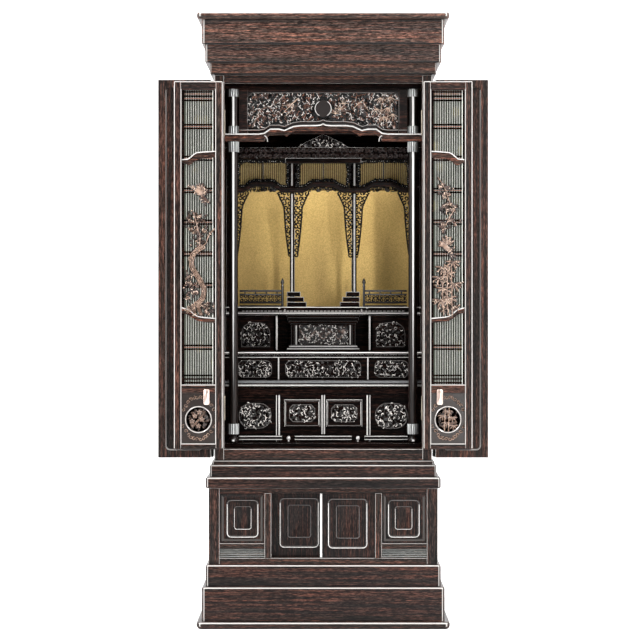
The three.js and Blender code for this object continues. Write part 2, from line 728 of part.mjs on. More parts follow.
function addTiers(across, upperY) {
  const bothSides = (make) => [make([1, -1]), make([-1, 1])];
  const span = ([near, far], side) => (side > 0 ? [near, far] : [-far, -near]);
  const lowY = frontY + lowerTierFront;
  const midY = frontY + middleTierFront;
  const lowZs = [innerFloorZ, lowerTierTop - shelfThick];
  const doorZs = [lowZs[0] + 37, lowZs[1] - 44];
  const sideZs = [lowZs[0] + 28, lowZs[1] - 38];
  const lowFields = bothSides(([side]) => [
    carvedField(span([20, bayAxis], side), doorZs, lowY, doorCorner),
    carvedField(span([recessHalf + 4, fieldEnd - 2], side), sideZs, lowY, plinthCorner),
  ]);
  const post = (recessHalf + fieldEnd) / 3;
  add('lower_tier', join(
    box(across, [lowY, lowY + tierBoard], lowZs),
    lowFields,
    [-post, 0, post].map((x) => upright(x, lowY, lowZs)),
    box(across, [lowY, midY + tierBoard], [lowZs[1] - 1, lowZs[1] + 1]),
    box(across, [lowY - lowerShelfReach, midY + tierBoard], [lowZs[1], lowerTierTop]),
  ), 'carving');

  const midZs = [lowerTierTop, middleTierTop - shelfThick - 1];
  const midFieldZs = [midZs[0] + 6, midZs[1] - 14];
  const midFields = [
    carvedField([-altarTableHalf, altarTableHalf], midFieldZs, midY, plinthCorner),
    bothSides(([side]) => (
      carvedField(span([recessHalf + 9, fieldEnd], side), midFieldZs, midY, plinthCorner)
    )),
  ];
  add('middle_tier', join(
    box(across, [midY, midY + tierBoard], midZs),
    midFields,
    [-recessHalf + 5, recessHalf - 5].map((x) => upright(x, midY, midZs)),
    box(across, [midY - middleShelfReach, upperY + tierBoard], [midZs[1] - 1, middleTierTop]),
  ), 'carving');

  const upperZs = [middleTierTop, platformBottom];
  const archZs = [upperZs[0] + 7, upperZs[1] - 22];
  const archXs = [recessHalf + 18, fieldEnd];
  const archRound = (archXs[1] - archXs[0]) * 0.4;
  const upperSides = bothSides(([side]) => [
    box(span([recessHalf, innerHalf], side), [upperY, upperY + tierBoard], upperZs),
    box(span([recessHalf, recessHalf + tierBoard], side), [upperY, upperY + recessDepth], upperZs),
    carvedField(span(archXs, side), archZs, upperY, [3, 3, archRound, archRound]),
  ]);
  const recessBack = box([-recessHalf - 1, recessHalf + 1],
    [upperY + recessDepth - tierBoard, upperY + recessDepth], upperZs);
  add('upper_tier', join(upperSides, recessBack), 'carving');
  addAltarTable(upperY + 2, upperY + recessDepth - 10);
}

// The altar table: stepped slabs above and below a carved panel between two legs
function addAltarTable(y, back) {
  const step = altarTableStep;
  const tall = upperTierHeight;
  const steps = [
    [0, step - 2, 0], [step - 2, 2 * step - 2, step], [tall - 3 * step, tall - 2 * step, step],
    [tall - 2 * step, tall - step, step / 2], [tall - step, tall, 0],
  ];
  const slabs = steps.map(([z0, z1, inset]) => box(
    [-altarTableHalf + inset, altarTableHalf - inset], [y + inset, back],
    [middleTierTop + z0, middleTierTop + z1],
  ));
  const panelZs = [middleTierTop + 2 * step - 3, middleTierTop + tall - 3 * step + 1];
  const core = box([-altarTableCore, altarTableCore], [y + 22, back], panelZs);
  const legs = [-altarTableCore - 2, altarTableCore + 2].map((x) => (
    box([x - 3, x + 3], [y + 14, y + 24], panelZs)
  ));
  const carved = [altarTableCore - 6, panelZs[1] - panelZs[0] - 6];
  const dragon = scrollwork(-carved[0], carved[0], panelZs[0] + 3, panelZs[1] - 3, carved[1] * 0.67);
  add('altar_table', join(slabs, core, legs, relief(dragon, y + 17, y + 23)), 'carving');
}

// Outer door leaves: a framed board with a sunk rounded panel on both faces. In the leaf's own frame x runs
// from the edge that it turns on, y from its outer face and z from its bottom edge.
function outerLeaf(width) {
  const xs = [outerFrameWidth, width - outerFrameWidth];
  const zs = [outerFrameWidth, outerHeight - outerFrameWidth];
  const sunk = (y0, y1) => prism(rounded(xs, zs, doorCorner), y0, y1, 2);
  return cut(box([0, width], [0, outerThick], [0, outerHeight]),
    sunk(-1, doorSink), sunk(outerThick - doorSink, outerThick + 1));
}

// A leaf's group: placed by its turning edge, and turned half round where its outer face looks back
function leafGroup(side, x, y, z, halfTurn) {
  const group = new THREE.Group();
  group.position.set(side * x, y, z);
  if (halfTurn) group.rotation.z = Math.PI;
  cabinet.add(group);
  return group;
}

function forSide(side, geometry) {
  return side > 0 ? mirrored(geometry) : geometry;
}

function addOuterDoors() {
  const secondWidth = halfBody - outerFirstWidth - 1.5 * leafGap;
  const firstX = halfBody + 2 * outerPivotOut;
  const z = bodyTop - outerBelowTop - outerHeight;
  for (const side of [-1, 1]) {
    const word = side < 0 ? 'left' : 'right';
    const first = leafGroup(side, firstX, frontY + outerThick, z, true);
    add(`outer_${word}_a`, forSide(side, outerLeaf(outerFirstWidth)), 'wood', first);
    const second = leafGroup(side, firstX + outerFirstWidth, frontY + outerThick + leafGap, z, false);
    add(`outer_${word}_b`, forSide(side, outerLeaf(secondWidth)), 'wood', second);
  }
}

// What is carved on the four screens, seen from the front with the leaf's turning edge at the left. at()
// takes shares of the opening's width, from its middle, and of its height, and w is its width.
function birdAndPine(at, w) {
  const trunk = [[-0.11, 0.457], [-0.24, 0.414], [0.05, 0.371], [0.19, 0.337], [-0.03, 0.303], [-0.38, 0.28]];
  return [
    bird(...at(0.03, 0.655), w * 0.62, 1),
    twig(...at(-0.24, 0.58), w * 0.6, -0.4, 2),
    branch([at(0.46, 0.519), at(0.05, 0.491), at(-0.22, 0.451)], w * 0.07, 3),
    branch(trunk.map((place) => at(...place)), w * 0.095, 8),
    fan(...at(0.19, 0.352), w * 0.35, w * 0.15, 3, 1.2, 1.8),
    fan(...at(-0.24, 0.389), w * 0.32, w * 0.14, 3, 1.9, 1.8),
    fan(...at(0.19, 0.269), w * 0.41, w * 0.16, 3, 1.4, 2),
  ];
}

function blossoms(at, radius, places) {
  return places.map((place) => blossom(...at(...place), radius));
}

function blossomAndBamboo(at, w) {
  return [
    branch([at(0.46, 0.642), at(0.05, 0.605), at(-0.27, 0.568)], w * 0.055, 3),
    blossoms(at, w * 0.14, [[0.11, 0.651], [-0.22, 0.624], [0.22, 0.58], [-0.19, 0.55]]),
    bird(...at(0, 0.47), w * 0.54, -1),
    branch([at(0.08, 0.241), at(0.07, 0.334), at(0.11, 0.426)], w * 0.055, 3),
    fan(...at(0.14, 0.408), w * 0.38, w * 0.14, 3, -1.6, 2.2),
    fan(...at(-0.11, 0.321), w * 0.38, w * 0.14, 3, -1.6, 2.2),
  ];
}

function pineAlone(at, w) {
  const trunk = [[0.27, 0.241], [-0.11, 0.321], [0.16, 0.411], [-0.16, 0.503], [0.11, 0.596]];
  const tufts = [[0.14, 0.423, 1.2], [-0.14, 0.503, 1.9], [0.11, 0.596, 1.2]];
  return [
    branch(trunk.map((place) => at(...place)), w * 0.095, 7),
    tufts.map(([x, z, angle]) => fan(...at(x, z), w * 0.43, w * 0.19, 3, angle, 1.8)),
  ];
}

function blossomAlone(at, w) {
  const trunk = [[-0.27, 0.241], [0.08, 0.334], [-0.14, 0.442], [0.19, 0.55], [-0.05, 0.665]];
  return [
    branch(trunk.map((place) => at(...place)), w * 0.08, 7),
    blossoms(at, w * 0.15, [[-0.22, 0.288], [0.19, 0.352], [-0.24, 0.442], [0.08, 0.596]]),
  ];
}

// The heights of the lattice's cross bars above the leaf's bottom edge
function crossBarHeights(low, high) {
  const bars = 3;
  return Array.from({ length: bars }, (_, i) => low + ((high - low) * (i + 1)) / (bars + 1));
}

function screenParts(width, carving, medallion) {
  const height = openingTop - openingBottom - screenTopClear - screenBottomClear;
  const xs = [screenStile, width - screenStile];
  const lowerZs = [screenBottomRail, screenBottomRail + screenLowerPanel];
  const upperZs = [lowerZs[1] + screenMidRail, height - screenTopRail];
  const through = [-1, screenThick + 1];
  const openings = [lowerZs, upperZs].map((zs) => box(xs, through, zs));
  const frame = cut(box([0, width], [0, screenThick], [0, height]), openings);

  const open = [xs[1] - xs[0], upperZs[1] - upperZs[0]];
  const at = (x, z) => [width / 2 + x * open[0], upperZs[0] + z * open[1]];
  const ground = gauzeDepth + gauzeThick / 2;
  const gauze = box(xs, [gauzeDepth, gauzeDepth + gauzeThick], upperZs);
  const bars = crossBarHeights(...upperZs).map((z) => (
    box(xs, [gauzeDepth - latticeBarDepth, ground], [z - latticeBar / 2, z + latticeBar / 2])
  ));
  const wave = (start, end) => branch(
    [at(-0.49, start), at(-0.29, (start + end) / 2), at(0.18, (start + end) / 2), at(0.49, end)], wavyRail, 5,
  );
  const rails = relief([wave(0.753, 0.778), wave(0.25, 0.217)], wavyRailFront, ground);
  const carved = relief(carving(at, open[0]), carvingFront, ground);
  const lattice = keepWithin(join(gauze, bars, rails, carved), openings[1]);

  const centre = [width / 2, (lowerZs[0] + lowerZs[1]) / 2];
  const board = box(xs, [gauzeDepth - 2, gauzeDepth + 2], lowerZs);
  const circle = (r, y0, y1) => prism(oval(...centre, r, r, 0, 12), y0, y1);
  const ring = cut(circle(medallionRadius, wavyRailFront, gauzeDepth - 1),
    circle(medallionRadius - medallionRim, wavyRailFront - 1, gauzeDepth));
  const flower = relief(medallion(...centre), wavyRailFront + 1, gauzeDepth - 1);
  const panel = keepWithin(join(board, ring, flower), openings[0]);
  return { frame, lattice, panel };
}

const blossomMedallion = (x, z) => [blossom(x, z, medallionRadius * 0.53)];

function bambooMedallion(x, z) {
  const r = medallionRadius;
  const stalk = branch([[x, z - r * 0.8], [x, z + r * 0.67]], r * 0.1, 2);
  return [fan(x, z + r * 0.53, r * 0.87, r * 0.37, 3, -1.57, 2.2), stalk];
}

function addScreens() {
  const secondWidth = openingHalf - screenFirstWidth - 1.5 * leafGap;
  const z = openingBottom + screenBottomClear;
  const edgeX = openingHalf + leafGap / 2;
  const designs = {
    left: { a: [pineAlone, bambooMedallion], b: [birdAndPine, blossomMedallion] },
    right: { a: [blossomAlone, blossomMedallion], b: [blossomAndBamboo, bambooMedallion] },
  };
  for (const side of [-1, 1]) {
    const word = side < 0 ? 'left' : 'right';
    const groups = {
      a: leafGroup(side, edgeX, frontY - leafGap, z, true),
      b: leafGroup(side, edgeX + screenFirstWidth, frontY - 2 * leafGap - 2 * screenThick, z, false),
    };
    for (const [letter, width] of [['a', screenFirstWidth], ['b', secondWidth]]) {
      const parts = screenParts(width, ...designs[word][letter]);
      const slots = { frame: 'wood', lattice: 'carving', panel: 'carving' };
      for (const [part, slot] of Object.entries(slots)) {
        add(`screen_${word}_${letter}_${part}`, forSide(side, parts[part]), slot, groups[letter]);
      }
    }
    const tagX = secondWidth - tagFromFreeEdge;
    const tagTop = screenBottomRail + screenLowerPanel + screenMidRail - tagBelowRail;
    const tagXs = [tagX - tagWidth / 2, tagX + tagWidth / 2];
    const tag = prism(rounded(tagXs, [tagTop - tagHeight, tagTop], tagWidth * 0.3), -tagThick, 0);
    add(`pull_tag_${word}`, forSide(side, tag), 'metal', groups.b);
  }
}

addBase();
addLowerCase();
addBody();
addHead();
addInnerFront();
addBeamAndTransom();
addGable();
addAltar();
addOuterDoors();
addScreens();

export default cabinet;
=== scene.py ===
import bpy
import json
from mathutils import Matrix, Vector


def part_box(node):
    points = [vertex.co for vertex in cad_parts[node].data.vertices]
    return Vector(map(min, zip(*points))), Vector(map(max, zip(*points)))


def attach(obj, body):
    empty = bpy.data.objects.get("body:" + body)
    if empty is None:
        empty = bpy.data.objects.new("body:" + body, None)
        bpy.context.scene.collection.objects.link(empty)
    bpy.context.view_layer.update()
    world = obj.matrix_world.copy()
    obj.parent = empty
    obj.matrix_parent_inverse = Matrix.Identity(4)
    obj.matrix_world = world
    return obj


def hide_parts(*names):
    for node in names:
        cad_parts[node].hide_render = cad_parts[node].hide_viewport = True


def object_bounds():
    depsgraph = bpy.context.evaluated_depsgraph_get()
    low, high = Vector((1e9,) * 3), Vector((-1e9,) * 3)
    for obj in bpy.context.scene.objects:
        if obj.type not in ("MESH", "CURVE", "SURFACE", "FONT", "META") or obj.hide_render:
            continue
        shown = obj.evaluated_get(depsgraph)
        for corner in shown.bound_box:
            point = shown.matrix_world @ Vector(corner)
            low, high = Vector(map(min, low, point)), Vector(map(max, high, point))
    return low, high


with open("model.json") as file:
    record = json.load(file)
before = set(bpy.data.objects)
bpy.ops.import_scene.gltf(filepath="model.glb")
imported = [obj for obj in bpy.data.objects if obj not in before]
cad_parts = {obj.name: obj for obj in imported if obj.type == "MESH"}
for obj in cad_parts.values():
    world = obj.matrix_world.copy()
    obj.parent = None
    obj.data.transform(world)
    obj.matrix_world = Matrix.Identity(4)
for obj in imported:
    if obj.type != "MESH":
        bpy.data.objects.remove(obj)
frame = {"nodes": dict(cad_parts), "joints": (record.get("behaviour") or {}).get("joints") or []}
cad_box = [list(map(float, corner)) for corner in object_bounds()]

import json
import math
import random

import bpy
import numpy as np
from mathutils import Vector

MM = 0.001
ROOT = "cabinet"
CANOPY_BEAM = 62 * MM  # height of the canopy's arched beam above its bottom
COARSE, FINE = 0.9 * MM, 0.75 * MM  # grid steps of carvings
ROUND = 80  # edges of thin carved rods that turn by less than this many degrees look round

# Places read from the frame, in metres
FRONT_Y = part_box("body_front_frame")[0][1]
INNER_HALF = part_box("altar_platform")[1][0]
PLATFORM_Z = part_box("altar_platform")[1][2]


# Meshes

class Form:
    """Vertices and faces of one piece, added part by part."""

    def __init__(self):
        self.verts = []
        self.faces = []
        self.shade = []

    def add(self, verts, faces, shade=1.0):
        start = len(self.verts)
        self.verts.extend([tuple(map(float, v)) for v in verts])
        self.faces.extend([tuple(start + i for i in face) for face in faces])
        if np.isscalar(shade):
            shade = [shade] * len(verts)
        self.shade.extend([float(s) for s in shade])

    def box(self, xs, ys, zs):
        (x0, x1), (y0, y1), (z0, z1) = sorted(xs), sorted(ys), sorted(zs)
        verts = [(x, y, z) for z in (z0, z1) for y in (y0, y1) for x in (x0, x1)]
        faces = [(0, 2, 3, 1), (4, 5, 7, 6), (0, 1, 5, 4), (2, 6, 7, 3), (0, 4, 6, 2), (1, 3, 7, 5)]
        self.add(verts, faces)

    def loft(self, rings, closed_ends=True):
        """A skin over rings of equal length, each a list of points, in order along the piece."""
        n = len(rings[0])
        verts = [p for ring in rings for p in ring]
        faces = []
        for k in range(len(rings) - 1):
            for i in range(n):
                j = (i + 1) % n
                faces.append((k * n + i, k * n + j, (k + 1) * n + j, (k + 1) * n + i))
        if closed_ends:
            faces.append(tuple(range(n))[::-1])
            faces.append(tuple((len(rings) - 1) * n + i for i in range(n)))
        self.add(verts, faces)

    def turned(self, profile, x, y, sides=24, flute=0.0, flutes=0):
        """A profile of (radius, z) points turned round an upright axis, with flutes of the depth flute."""
        rings = []
        for r, z in profile:
            ring = []
            for i in range(sides):
                t = 2 * math.pi * i / sides
                bump = flute * abs(math.sin(flutes * t / 2)) if flutes and r > 0.0001 else 0
                ring.append((x + (r - bump) * math.cos(t), y + (r - bump) * math.sin(t), z))
            rings.append(ring)
        self.loft(rings)

    def rod(self, points, radius, sides=8):
        """A round bar along points. radius is a number or one for each point."""
        points = [np.array(p, float) for p in points]
        radii = radius if isinstance(radius, (list, tuple)) else [radius] * len(points)
        rings = []
        for i, p in enumerate(points):
            a = points[max(i - 1, 0)]
            b = points[min(i + 1, len(points) - 1)]
            along = (b - a) / (np.linalg.norm(b - a) + 1e-12)
            side = np.cross(along, (0, 1, 0))
            if np.linalg.norm(side) < 0.1:
                side = np.array((1.0, 0, 0))
            side = side / np.linalg.norm(side)
            up = np.cross(side, along)
            rings.append([p + radii[i] * (math.cos(t) * side + math.sin(t) * up)
                          for t in [2 * math.pi * k / sides for k in range(sides)]])
        self.loft(rings)

    def across(self, xs, y, z, radius, sides=8):
        """A level round bar."""
        self.rod([(xs[0], y, z), (xs[1], y, z)], radius, sides)

    def upright(self, x, y, zs, radius, sides=8):
        self.rod([(x, y, zs[0]), (x, y, zs[1])], radius, sides)

    def plate(self, outline, y0, y1):
        """A flat outline of (x, z) points, carried from y0 to y1."""
        self.loft([[(x, y, z) for x, z in outline] for y in (y0, y1)])

    def sheet(self, x, y, z, keep=None, shade=None):
        """A grid surface from three equal arrays. keep masks its cells."""
        rows, cols = x.shape
        index = np.arange(rows * cols).reshape(rows, cols)
        quads = np.stack([index[:-1, :-1], index[:-1, 1:], index[1:, 1:], index[1:, :-1]], -1)
        quads = quads[keep] if keep is not None else quads.reshape(-1, 4)
        used, flat = np.unique(quads, return_inverse=True)
        flat = flat.reshape(-1, 4)
        points = np.stack([x.ravel(), y.ravel(), z.ravel()], -1)[used]
        tone = shade.ravel()[used] if shade is not None else 1.0
        self.add(points.tolist(), flat.tolist(), tone)

    def make(self, name, material, body=ROOT, slot="wood", bevel=0.0, smooth_angle=40, replaces=()):
        mesh = bpy.data.meshes.new(name)
        mesh.from_pydata(self.verts, [], self.faces)
        # tone holds each vertex's carving height, which carved_wood turns into painted shade in hollows and
        # painted highlight on peaks
        tone = mesh.attributes.new("tone", "FLOAT", "POINT")
        tone.data.foreach_set("value", np.array(self.shade, np.float32))
        mesh.update()
        mesh.shade_smooth()
        mesh.set_sharp_from_angle(angle=math.radians(smooth_angle))
        mesh.materials.append(material)
        obj = bpy.data.objects.new(name, mesh)
        bpy.context.scene.collection.objects.link(obj)
        if bevel:
            add_bevel(obj, bevel)
        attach(obj, body)
        if replaces:
            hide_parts(*replaces)


def add_bevel(obj, width):
    rounder = obj.modifiers.new("rounded edges", "BEVEL")
    rounder.width = width
    rounder.segments = 4
    rounder.limit_method = "ANGLE"
    rounder.angle_limit = math.radians(50)
    rounder.use_clamp_overlap = True
    rounder.harden_normals = True


# Materials

class Graph:
    """The shader nodes of one new material. Socket names given as keywords have _ for a space."""

    def __init__(self, name):
        self.material = bpy.data.materials.new(name)
        self.material.use_nodes = True
        self.nodes = self.material.node_tree.nodes
        self.link = self.material.node_tree.links.new
        self.shader = self.nodes["Principled BSDF"]

    def node(self, kind, **sockets):
        node = self.nodes.new("ShaderNode" + kind)
        for name, value in sockets.items():
            node.inputs[name.replace("_", " ")].default_value = value
        return node

    def feed(self, socket, value):
        """Links an output to the socket, or sets a plain value on it."""
        if hasattr(value, "is_linked"):
            self.link(value, socket)
        else:
            socket.default_value = value

    def ramp(self, factor, stops):
        node = self.node("ValToRGB")
        bands = node.color_ramp.elements
        while len(bands) < len(stops):
            bands.new(0.5)
        for band, (place, colour) in zip(bands, stops):
            band.position = place
            band.color = (*colour, 1)
        self.link(factor, node.inputs["Fac"])
        return node.outputs["Color"]

    def noise(self, stretch, detail=4, roughness=0.6, distortion=0.0, scale=1.0, **place):
        node = self.node("TexNoise", Scale=scale, Detail=detail, Roughness=roughness, Distortion=distortion)
        self.link(self.mapped(stretch, **place), node.inputs["Vector"])
        return node.outputs["Fac"]

    def mapped(self, stretch, offset=(0, 0, 0), turned=False):
        """Stretched object coordinates. With turned, x and y change places on faces that look sideways,
        so the grain runs on round a corner."""
        place = self.node("TexCoord")
        mapping = self.node("Mapping", Scale=stretch, Location=offset)
        point = place.outputs["Object"]
        if turned:
            parts, swapped, pick, facing = map(self.node, ("SeparateXYZ", "CombineXYZ", "Mix", "SeparateXYZ"))
            self.link(point, parts.inputs["Vector"])
            for a, b in ("XY", "YX", "ZZ"):
                self.link(parts.outputs[a], swapped.inputs[b])
            self.link(place.outputs["Normal"], facing.inputs["Vector"])
            pick.data_type = "VECTOR"
            factor, first, second = pick.inputs[0], pick.inputs[4], pick.inputs[5]
            self.link(self.calc("GREATER_THAN", self.calc("ABSOLUTE", facing.outputs["X"]), 0.8), factor)
            self.link(point, first)
            self.link(swapped.outputs["Vector"], second)
            point = pick.outputs[1]
        self.link(point, mapping.inputs["Vector"])
        return mapping.outputs["Vector"]

    def mix(self, factor, a, b, blend="MIX"):
        node = self.node("Mix")
        node.data_type = "RGBA"
        node.blend_type = blend
        for name, value in (("Factor", factor), ("A", a), ("B", b)):
            self.feed(node.inputs[name], value)
        return node.outputs["Result"]

    def calc(self, operation, a, b=0.0):
        node = self.node("Math")
        node.operation = operation
        for socket, value in zip(node.inputs, (a, b)):
            self.feed(socket, value)
        return node.outputs[0]

    def rise(self, value, low, high, start=0.0, end=1.0):
        node = self.node("MapRange", From_Min=low, From_Max=high, To_Min=start, To_Max=end)
        self.link(value, node.inputs["Value"])
        return node.outputs["Result"]

    def normal(self):
        """The outputs X, Y and Z with the way that the surface faces."""
        split = self.node("SeparateXYZ")
        self.link(self.node("TexCoord").outputs["Normal"], split.inputs["Vector"])
        return split.outputs

    def painted_highlight_share(self, outlined):
        """Where a painted highlight goes: 1 on surfaces that lean between a piece's front or back and its
        other sides, and 0 on flat sides and on faces that turn downwards. On outlined pieces the part that
        turns furthest away from the front stays dark."""
        facing = self.normal()
        x, y, z = [self.calc("ABSOLUTE", facing[axis]) for axis in "XYZ"]
        share = self.calc("MULTIPLY", self.rise(y, 0.975, 0.93), self.rise(y, 0.5, 0.62))
        if outlined:
            share = self.calc("MULTIPLY", share, self.rise(x, 0.54, 0.46))
        else:
            widest = self.calc("MAXIMUM", x, z)
            side = self.calc("MULTIPLY", self.rise(y, 0.4, 0.3), self.rise(widest, 0.9, 0.82))
            share = self.calc("MAXIMUM", share, side)
        return self.calc("MULTIPLY", share, self.rise(facing["Z"], -0.3, -0.1))

    def bump(self, height, strength, distance):
        node = self.node("Bump", Strength=strength, Distance=distance)
        self.link(height, node.inputs["Height"])
        self.link(node.outputs["Normal"], self.shader.inputs["Normal"])

    def finish(self, colour, **sockets):
        """Gives the shader its colour and its other sockets, and returns the material."""
        self.link(colour, self.shader.inputs["Base Color"])
        for name, value in sockets.items():
            self.feed(self.shader.inputs[name.replace("_", " ")], value)
        return self.material


def wood(name, grain_axis, streak=(0.06, 0.0265, 0.0195), base=(0.0155, 0.0122, 0.011), offset=(0, 0, 0),
         arris=(0.36, 0.345, 0.33), wave=0.0, outlined=False, shine=0.12):
    """Polished near-black wood: fine red-brown streaks and pores along grain_axis (0 for x, 1 for y,
    2 for z), and a painted highlight in the colour arris on rounded arrises, which are also smoother."""
    graph = Graph(name)

    def grain(across, along, detail, roughness, distortion=0.0):
        stretch = [across] * 3
        stretch[grain_axis] = along
        return graph.noise(stretch, detail, roughness, distortion, offset=offset, turned=grain_axis == 0)

    bands = grain(26, 1.6, 2, 0.5)
    streaks = grain(270, 4.5, 4, 0.62, wave)
    pores = grain(600, 80, 2, 0.7)
    tone = graph.ramp(streaks, [(0.34, tuple(c * 0.5 for c in base)), (0.48, base), (0.6, streak),
                                (0.66, base)])
    wide = graph.ramp(bands, [(0.36, (0.62, 0.66, 0.68)), (0.62, (1.2, 1.08, 1.0))])
    speckle = graph.ramp(pores, [(0.36, (0.18, 0.18, 0.18)), (0.5, (0.75, 0.75, 0.75)),
                                 (0.66, (2.6, 2.5, 2.4))])
    colour = graph.mix(1.0, graph.mix(1.0, tone, wide, "MULTIPLY"), speckle, "MULTIPLY")
    # share is where the arris colour is mixed in as a painted highlight
    share = graph.painted_highlight_share(outlined)
    rough = graph.calc("MULTIPLY", graph.rise(pores, 0.3, 0.7, 0.3, 0.45), graph.rise(share, 0, 1, 1.0, 0.55))
    graph.bump(pores, 0.1, 0.4 * MM)
    return graph.finish(graph.mix(share, colour, (*arris, 1)), Roughness=rough, Specular_IOR_Level=shine)


def smooth_rod_or_painted_light(name, base, rough=0.16, coat=1.0):
    """Rods, beads and small marks with a smooth polish: dark ones are real wood or painted shade, light ones
    are painted highlights or a painted reflection.
    """
    graph = Graph(name)
    tone = graph.ramp(graph.noise((220, 220, 220), 2), [(0.3, tuple(c * 0.7 for c in base)), (0.7, base)])
    return graph.finish(tone, Roughness=rough, Specular_IOR_Level=0.5 * coat + 0.25, Coat_Weight=coat,
                        Coat_Roughness=0.08)


def pillar_wood(name):
    """Near-black wood with a painted highlight line down the front, where the surface faces straight forward.
    """
    graph = Graph(name)
    share = graph.rise(graph.calc("MULTIPLY", graph.normal()["Y"], -1.0), 0.962, 0.985)
    grain = graph.noise((300, 300, 12), 3)
    tone = graph.ramp(grain, [(0.4, (0.003, 0.0025, 0.0022)), (0.62, (0.014, 0.008, 0.0065))])
    return graph.finish(graph.mix(share, tone, (0.8, 0.79, 0.77, 1)), Roughness=0.3, Specular_IOR_Level=0.2)


def carved_wood(name, hollow, middle, peak):
    """Wood whose colour goes from its hollows to its peaks by the piece's tone attribute: near-black hollows
    as painted shade and light peaks as painted highlight.
    """
    graph = Graph(name)
    tone = graph.node("Attribute")
    tone.attribute_name = "tone"
    stops = [(0.35, hollow), (0.52, middle), (0.7, tuple(c * 2.4 for c in middle)), (0.92, peak)]
    stain = graph.ramp(graph.noise((60, 60, 60), 3), [(0.35, (0.45, 0.42, 0.4)), (0.65, (1, 1, 1))])
    graph.bump(graph.noise((700, 700, 700), 2), 0.15, 0.4 * MM)
    return graph.finish(graph.mix(0.7, graph.ramp(tone.outputs["Fac"], stops), stain, "MULTIPLY"),
                        Roughness=0.3, Coat_Weight=0.4, Coat_Roughness=0.15)


def gilt(name, base, shade, rough=0.42):
    """Gilt board: warm gold with a sandy grain and slow changes of tone."""
    graph = Graph(name)
    sand = graph.noise((420, 420, 420), 2, 0.7)
    tone = graph.ramp(graph.noise((6, 6, 6), 2), [(0.3, shade), (0.7, base)])
    fine = graph.ramp(sand, [(0.35, (0.5, 0.45, 0.36)), (0.65, (1, 1, 1))])
    graph.bump(sand, 0.25, 0.6 * MM)
    return graph.finish(graph.mix(0.6, tone, fine, "MULTIPLY"), Metallic=0.45, Roughness=rough)


def brushed_metal(name, base, dull, rough=0.3):
    graph = Graph(name)
    lines = graph.noise((700, 700, 30), 2)
    graph.bump(lines, 0.1, 0.3 * MM)
    return graph.finish(graph.ramp(lines, [(0.3, dull), (0.7, base)]), Metallic=0.9, Roughness=rough)


def gauze_cloth(name):
    """Grey-green gauze with a fine weave and pale painted blossoms."""
    graph = Graph(name)
    weave = graph.node("TexWave", Scale=420, Distortion=1.5)
    graph.link(graph.mapped((1, 1, 0.2)), weave.inputs["Vector"])
    blots = graph.node("TexVoronoi", Scale=26)
    graph.link(graph.mapped((1, 1, 0.8)), blots.inputs["Vector"])
    flower = graph.ramp(blots.outputs["Distance"], [(0.16, (0.26, 0.23, 0.13)), (0.3, (0.11, 0.122, 0.095))])
    tint = graph.ramp(graph.noise((9, 9, 6), 4), [(0.35, (0.55, 0.6, 0.52)), (0.65, (1, 1, 0.95))])
    threads = graph.ramp(weave.outputs["Fac"], [(0.3, (0.55, 0.55, 0.53)), (0.7, (1, 1, 1))])
    colour = graph.mix(1.0, graph.mix(1.0, flower, tint, "MULTIPLY"), threads, "MULTIPLY")
    return graph.finish(colour, Roughness=0.75, Sheen_Weight=0.3)


DARK = {"shine": 0.02, "streak": (0.013, 0.0058, 0.0045), "base": (0.0028, 0.002, 0.0019)}
# pale colour of the painted highlight on the darkest woods' arrises
PALE_ARRIS_HIGHLIGHT = (0.8, 0.78, 0.75)

# each wood mixes its arris colour in as a painted highlight on rounded arrises
WOOD_X = wood("wood along x", 0)
WOOD_BASE = wood("plinth wood along x", 0, (0.042, 0.018, 0.0135), (0.0115, 0.0085, 0.0078), (7, 3, 0),
                 outlined=True)
WOOD_Z = wood("wood along z", 2)
WOOD_HEAD = wood("redder head wood along x", 0, (0.12, 0.055, 0.04), (0.036, 0.028, 0.025), (3, 1, 2),
                 wave=0.9,
                 outlined=True)
WOOD_RED = wood("redder wood along x", 0, (0.11, 0.04, 0.026), (0.028, 0.018, 0.015), (3, 1, 2))
WOOD_PANEL = wood("darker panel wood along z", 2, (0.032, 0.014, 0.011), (0.0085, 0.0065, 0.006), (2, 5, 1),
                  (0.05, 0.045, 0.042))
WOOD_DARK = wood("darker wood along x", 0, offset=(5, 2, 1), arris=PALE_ARRIS_HIGHLIGHT, **DARK)
WOOD_DARK_Z = wood("darker wood along z", 2, offset=(5, 2, 1), arris=PALE_ARRIS_HIGHLIGHT, **DARK)
WOOD_TABLE = wood("altar table wood", 0, offset=(1, 6, 1), arris=(0.12, 0.115, 0.11), **DARK)
WOOD_PLAIN = wood("dark plain board", 0, (0.028, 0.011, 0.008), (0.006, 0.0042, 0.0038), (4, 4, 1),
                  (0.03, 0.02, 0.016))
REED = wood("satin reeded band", 0, (0.07, 0.06, 0.055), (0.05, 0.052, 0.05), (1, 1, 1), (0.26, 0.27, 0.26))
BAR_WOOD = smooth_rod_or_painted_light("railing wood", (0.012, 0.009, 0.008), 0.3, 0.6)
PILLAR_WOOD_WITH_HIGHLIGHT = pillar_wood("round pillar wood with painted highlight")
# near-black for real scrolls, and as painted shade: shadow lines under the cornices and dark marks between
# carved leaves
SCROLL_WOOD_AND_SHADE = smooth_rod_or_painted_light("dark scroll wood and painted shade", (0.0025, 0.002, 0.0018), 0.65, 0.0)
# light materials for painted highlights on carvings, figures and lattice
GLINT = smooth_rod_or_painted_light("painted highlight on carving", (0.95, 0.9, 0.85), 0.3, 0.5)
GLINT_TAN = smooth_rod_or_painted_light("painted tan highlight on carving", (0.55, 0.4, 0.3), 0.35, 0.4)
GLINT_RED = smooth_rod_or_painted_light("painted reddish highlight on carving", (0.3, 0.13, 0.085), 0.3, 0.5)
# a middling painted highlight, for the platform's beads and the medallions' rings
ARRIS = smooth_rod_or_painted_light("middling painted highlight rod", (0.4, 0.37, 0.35))
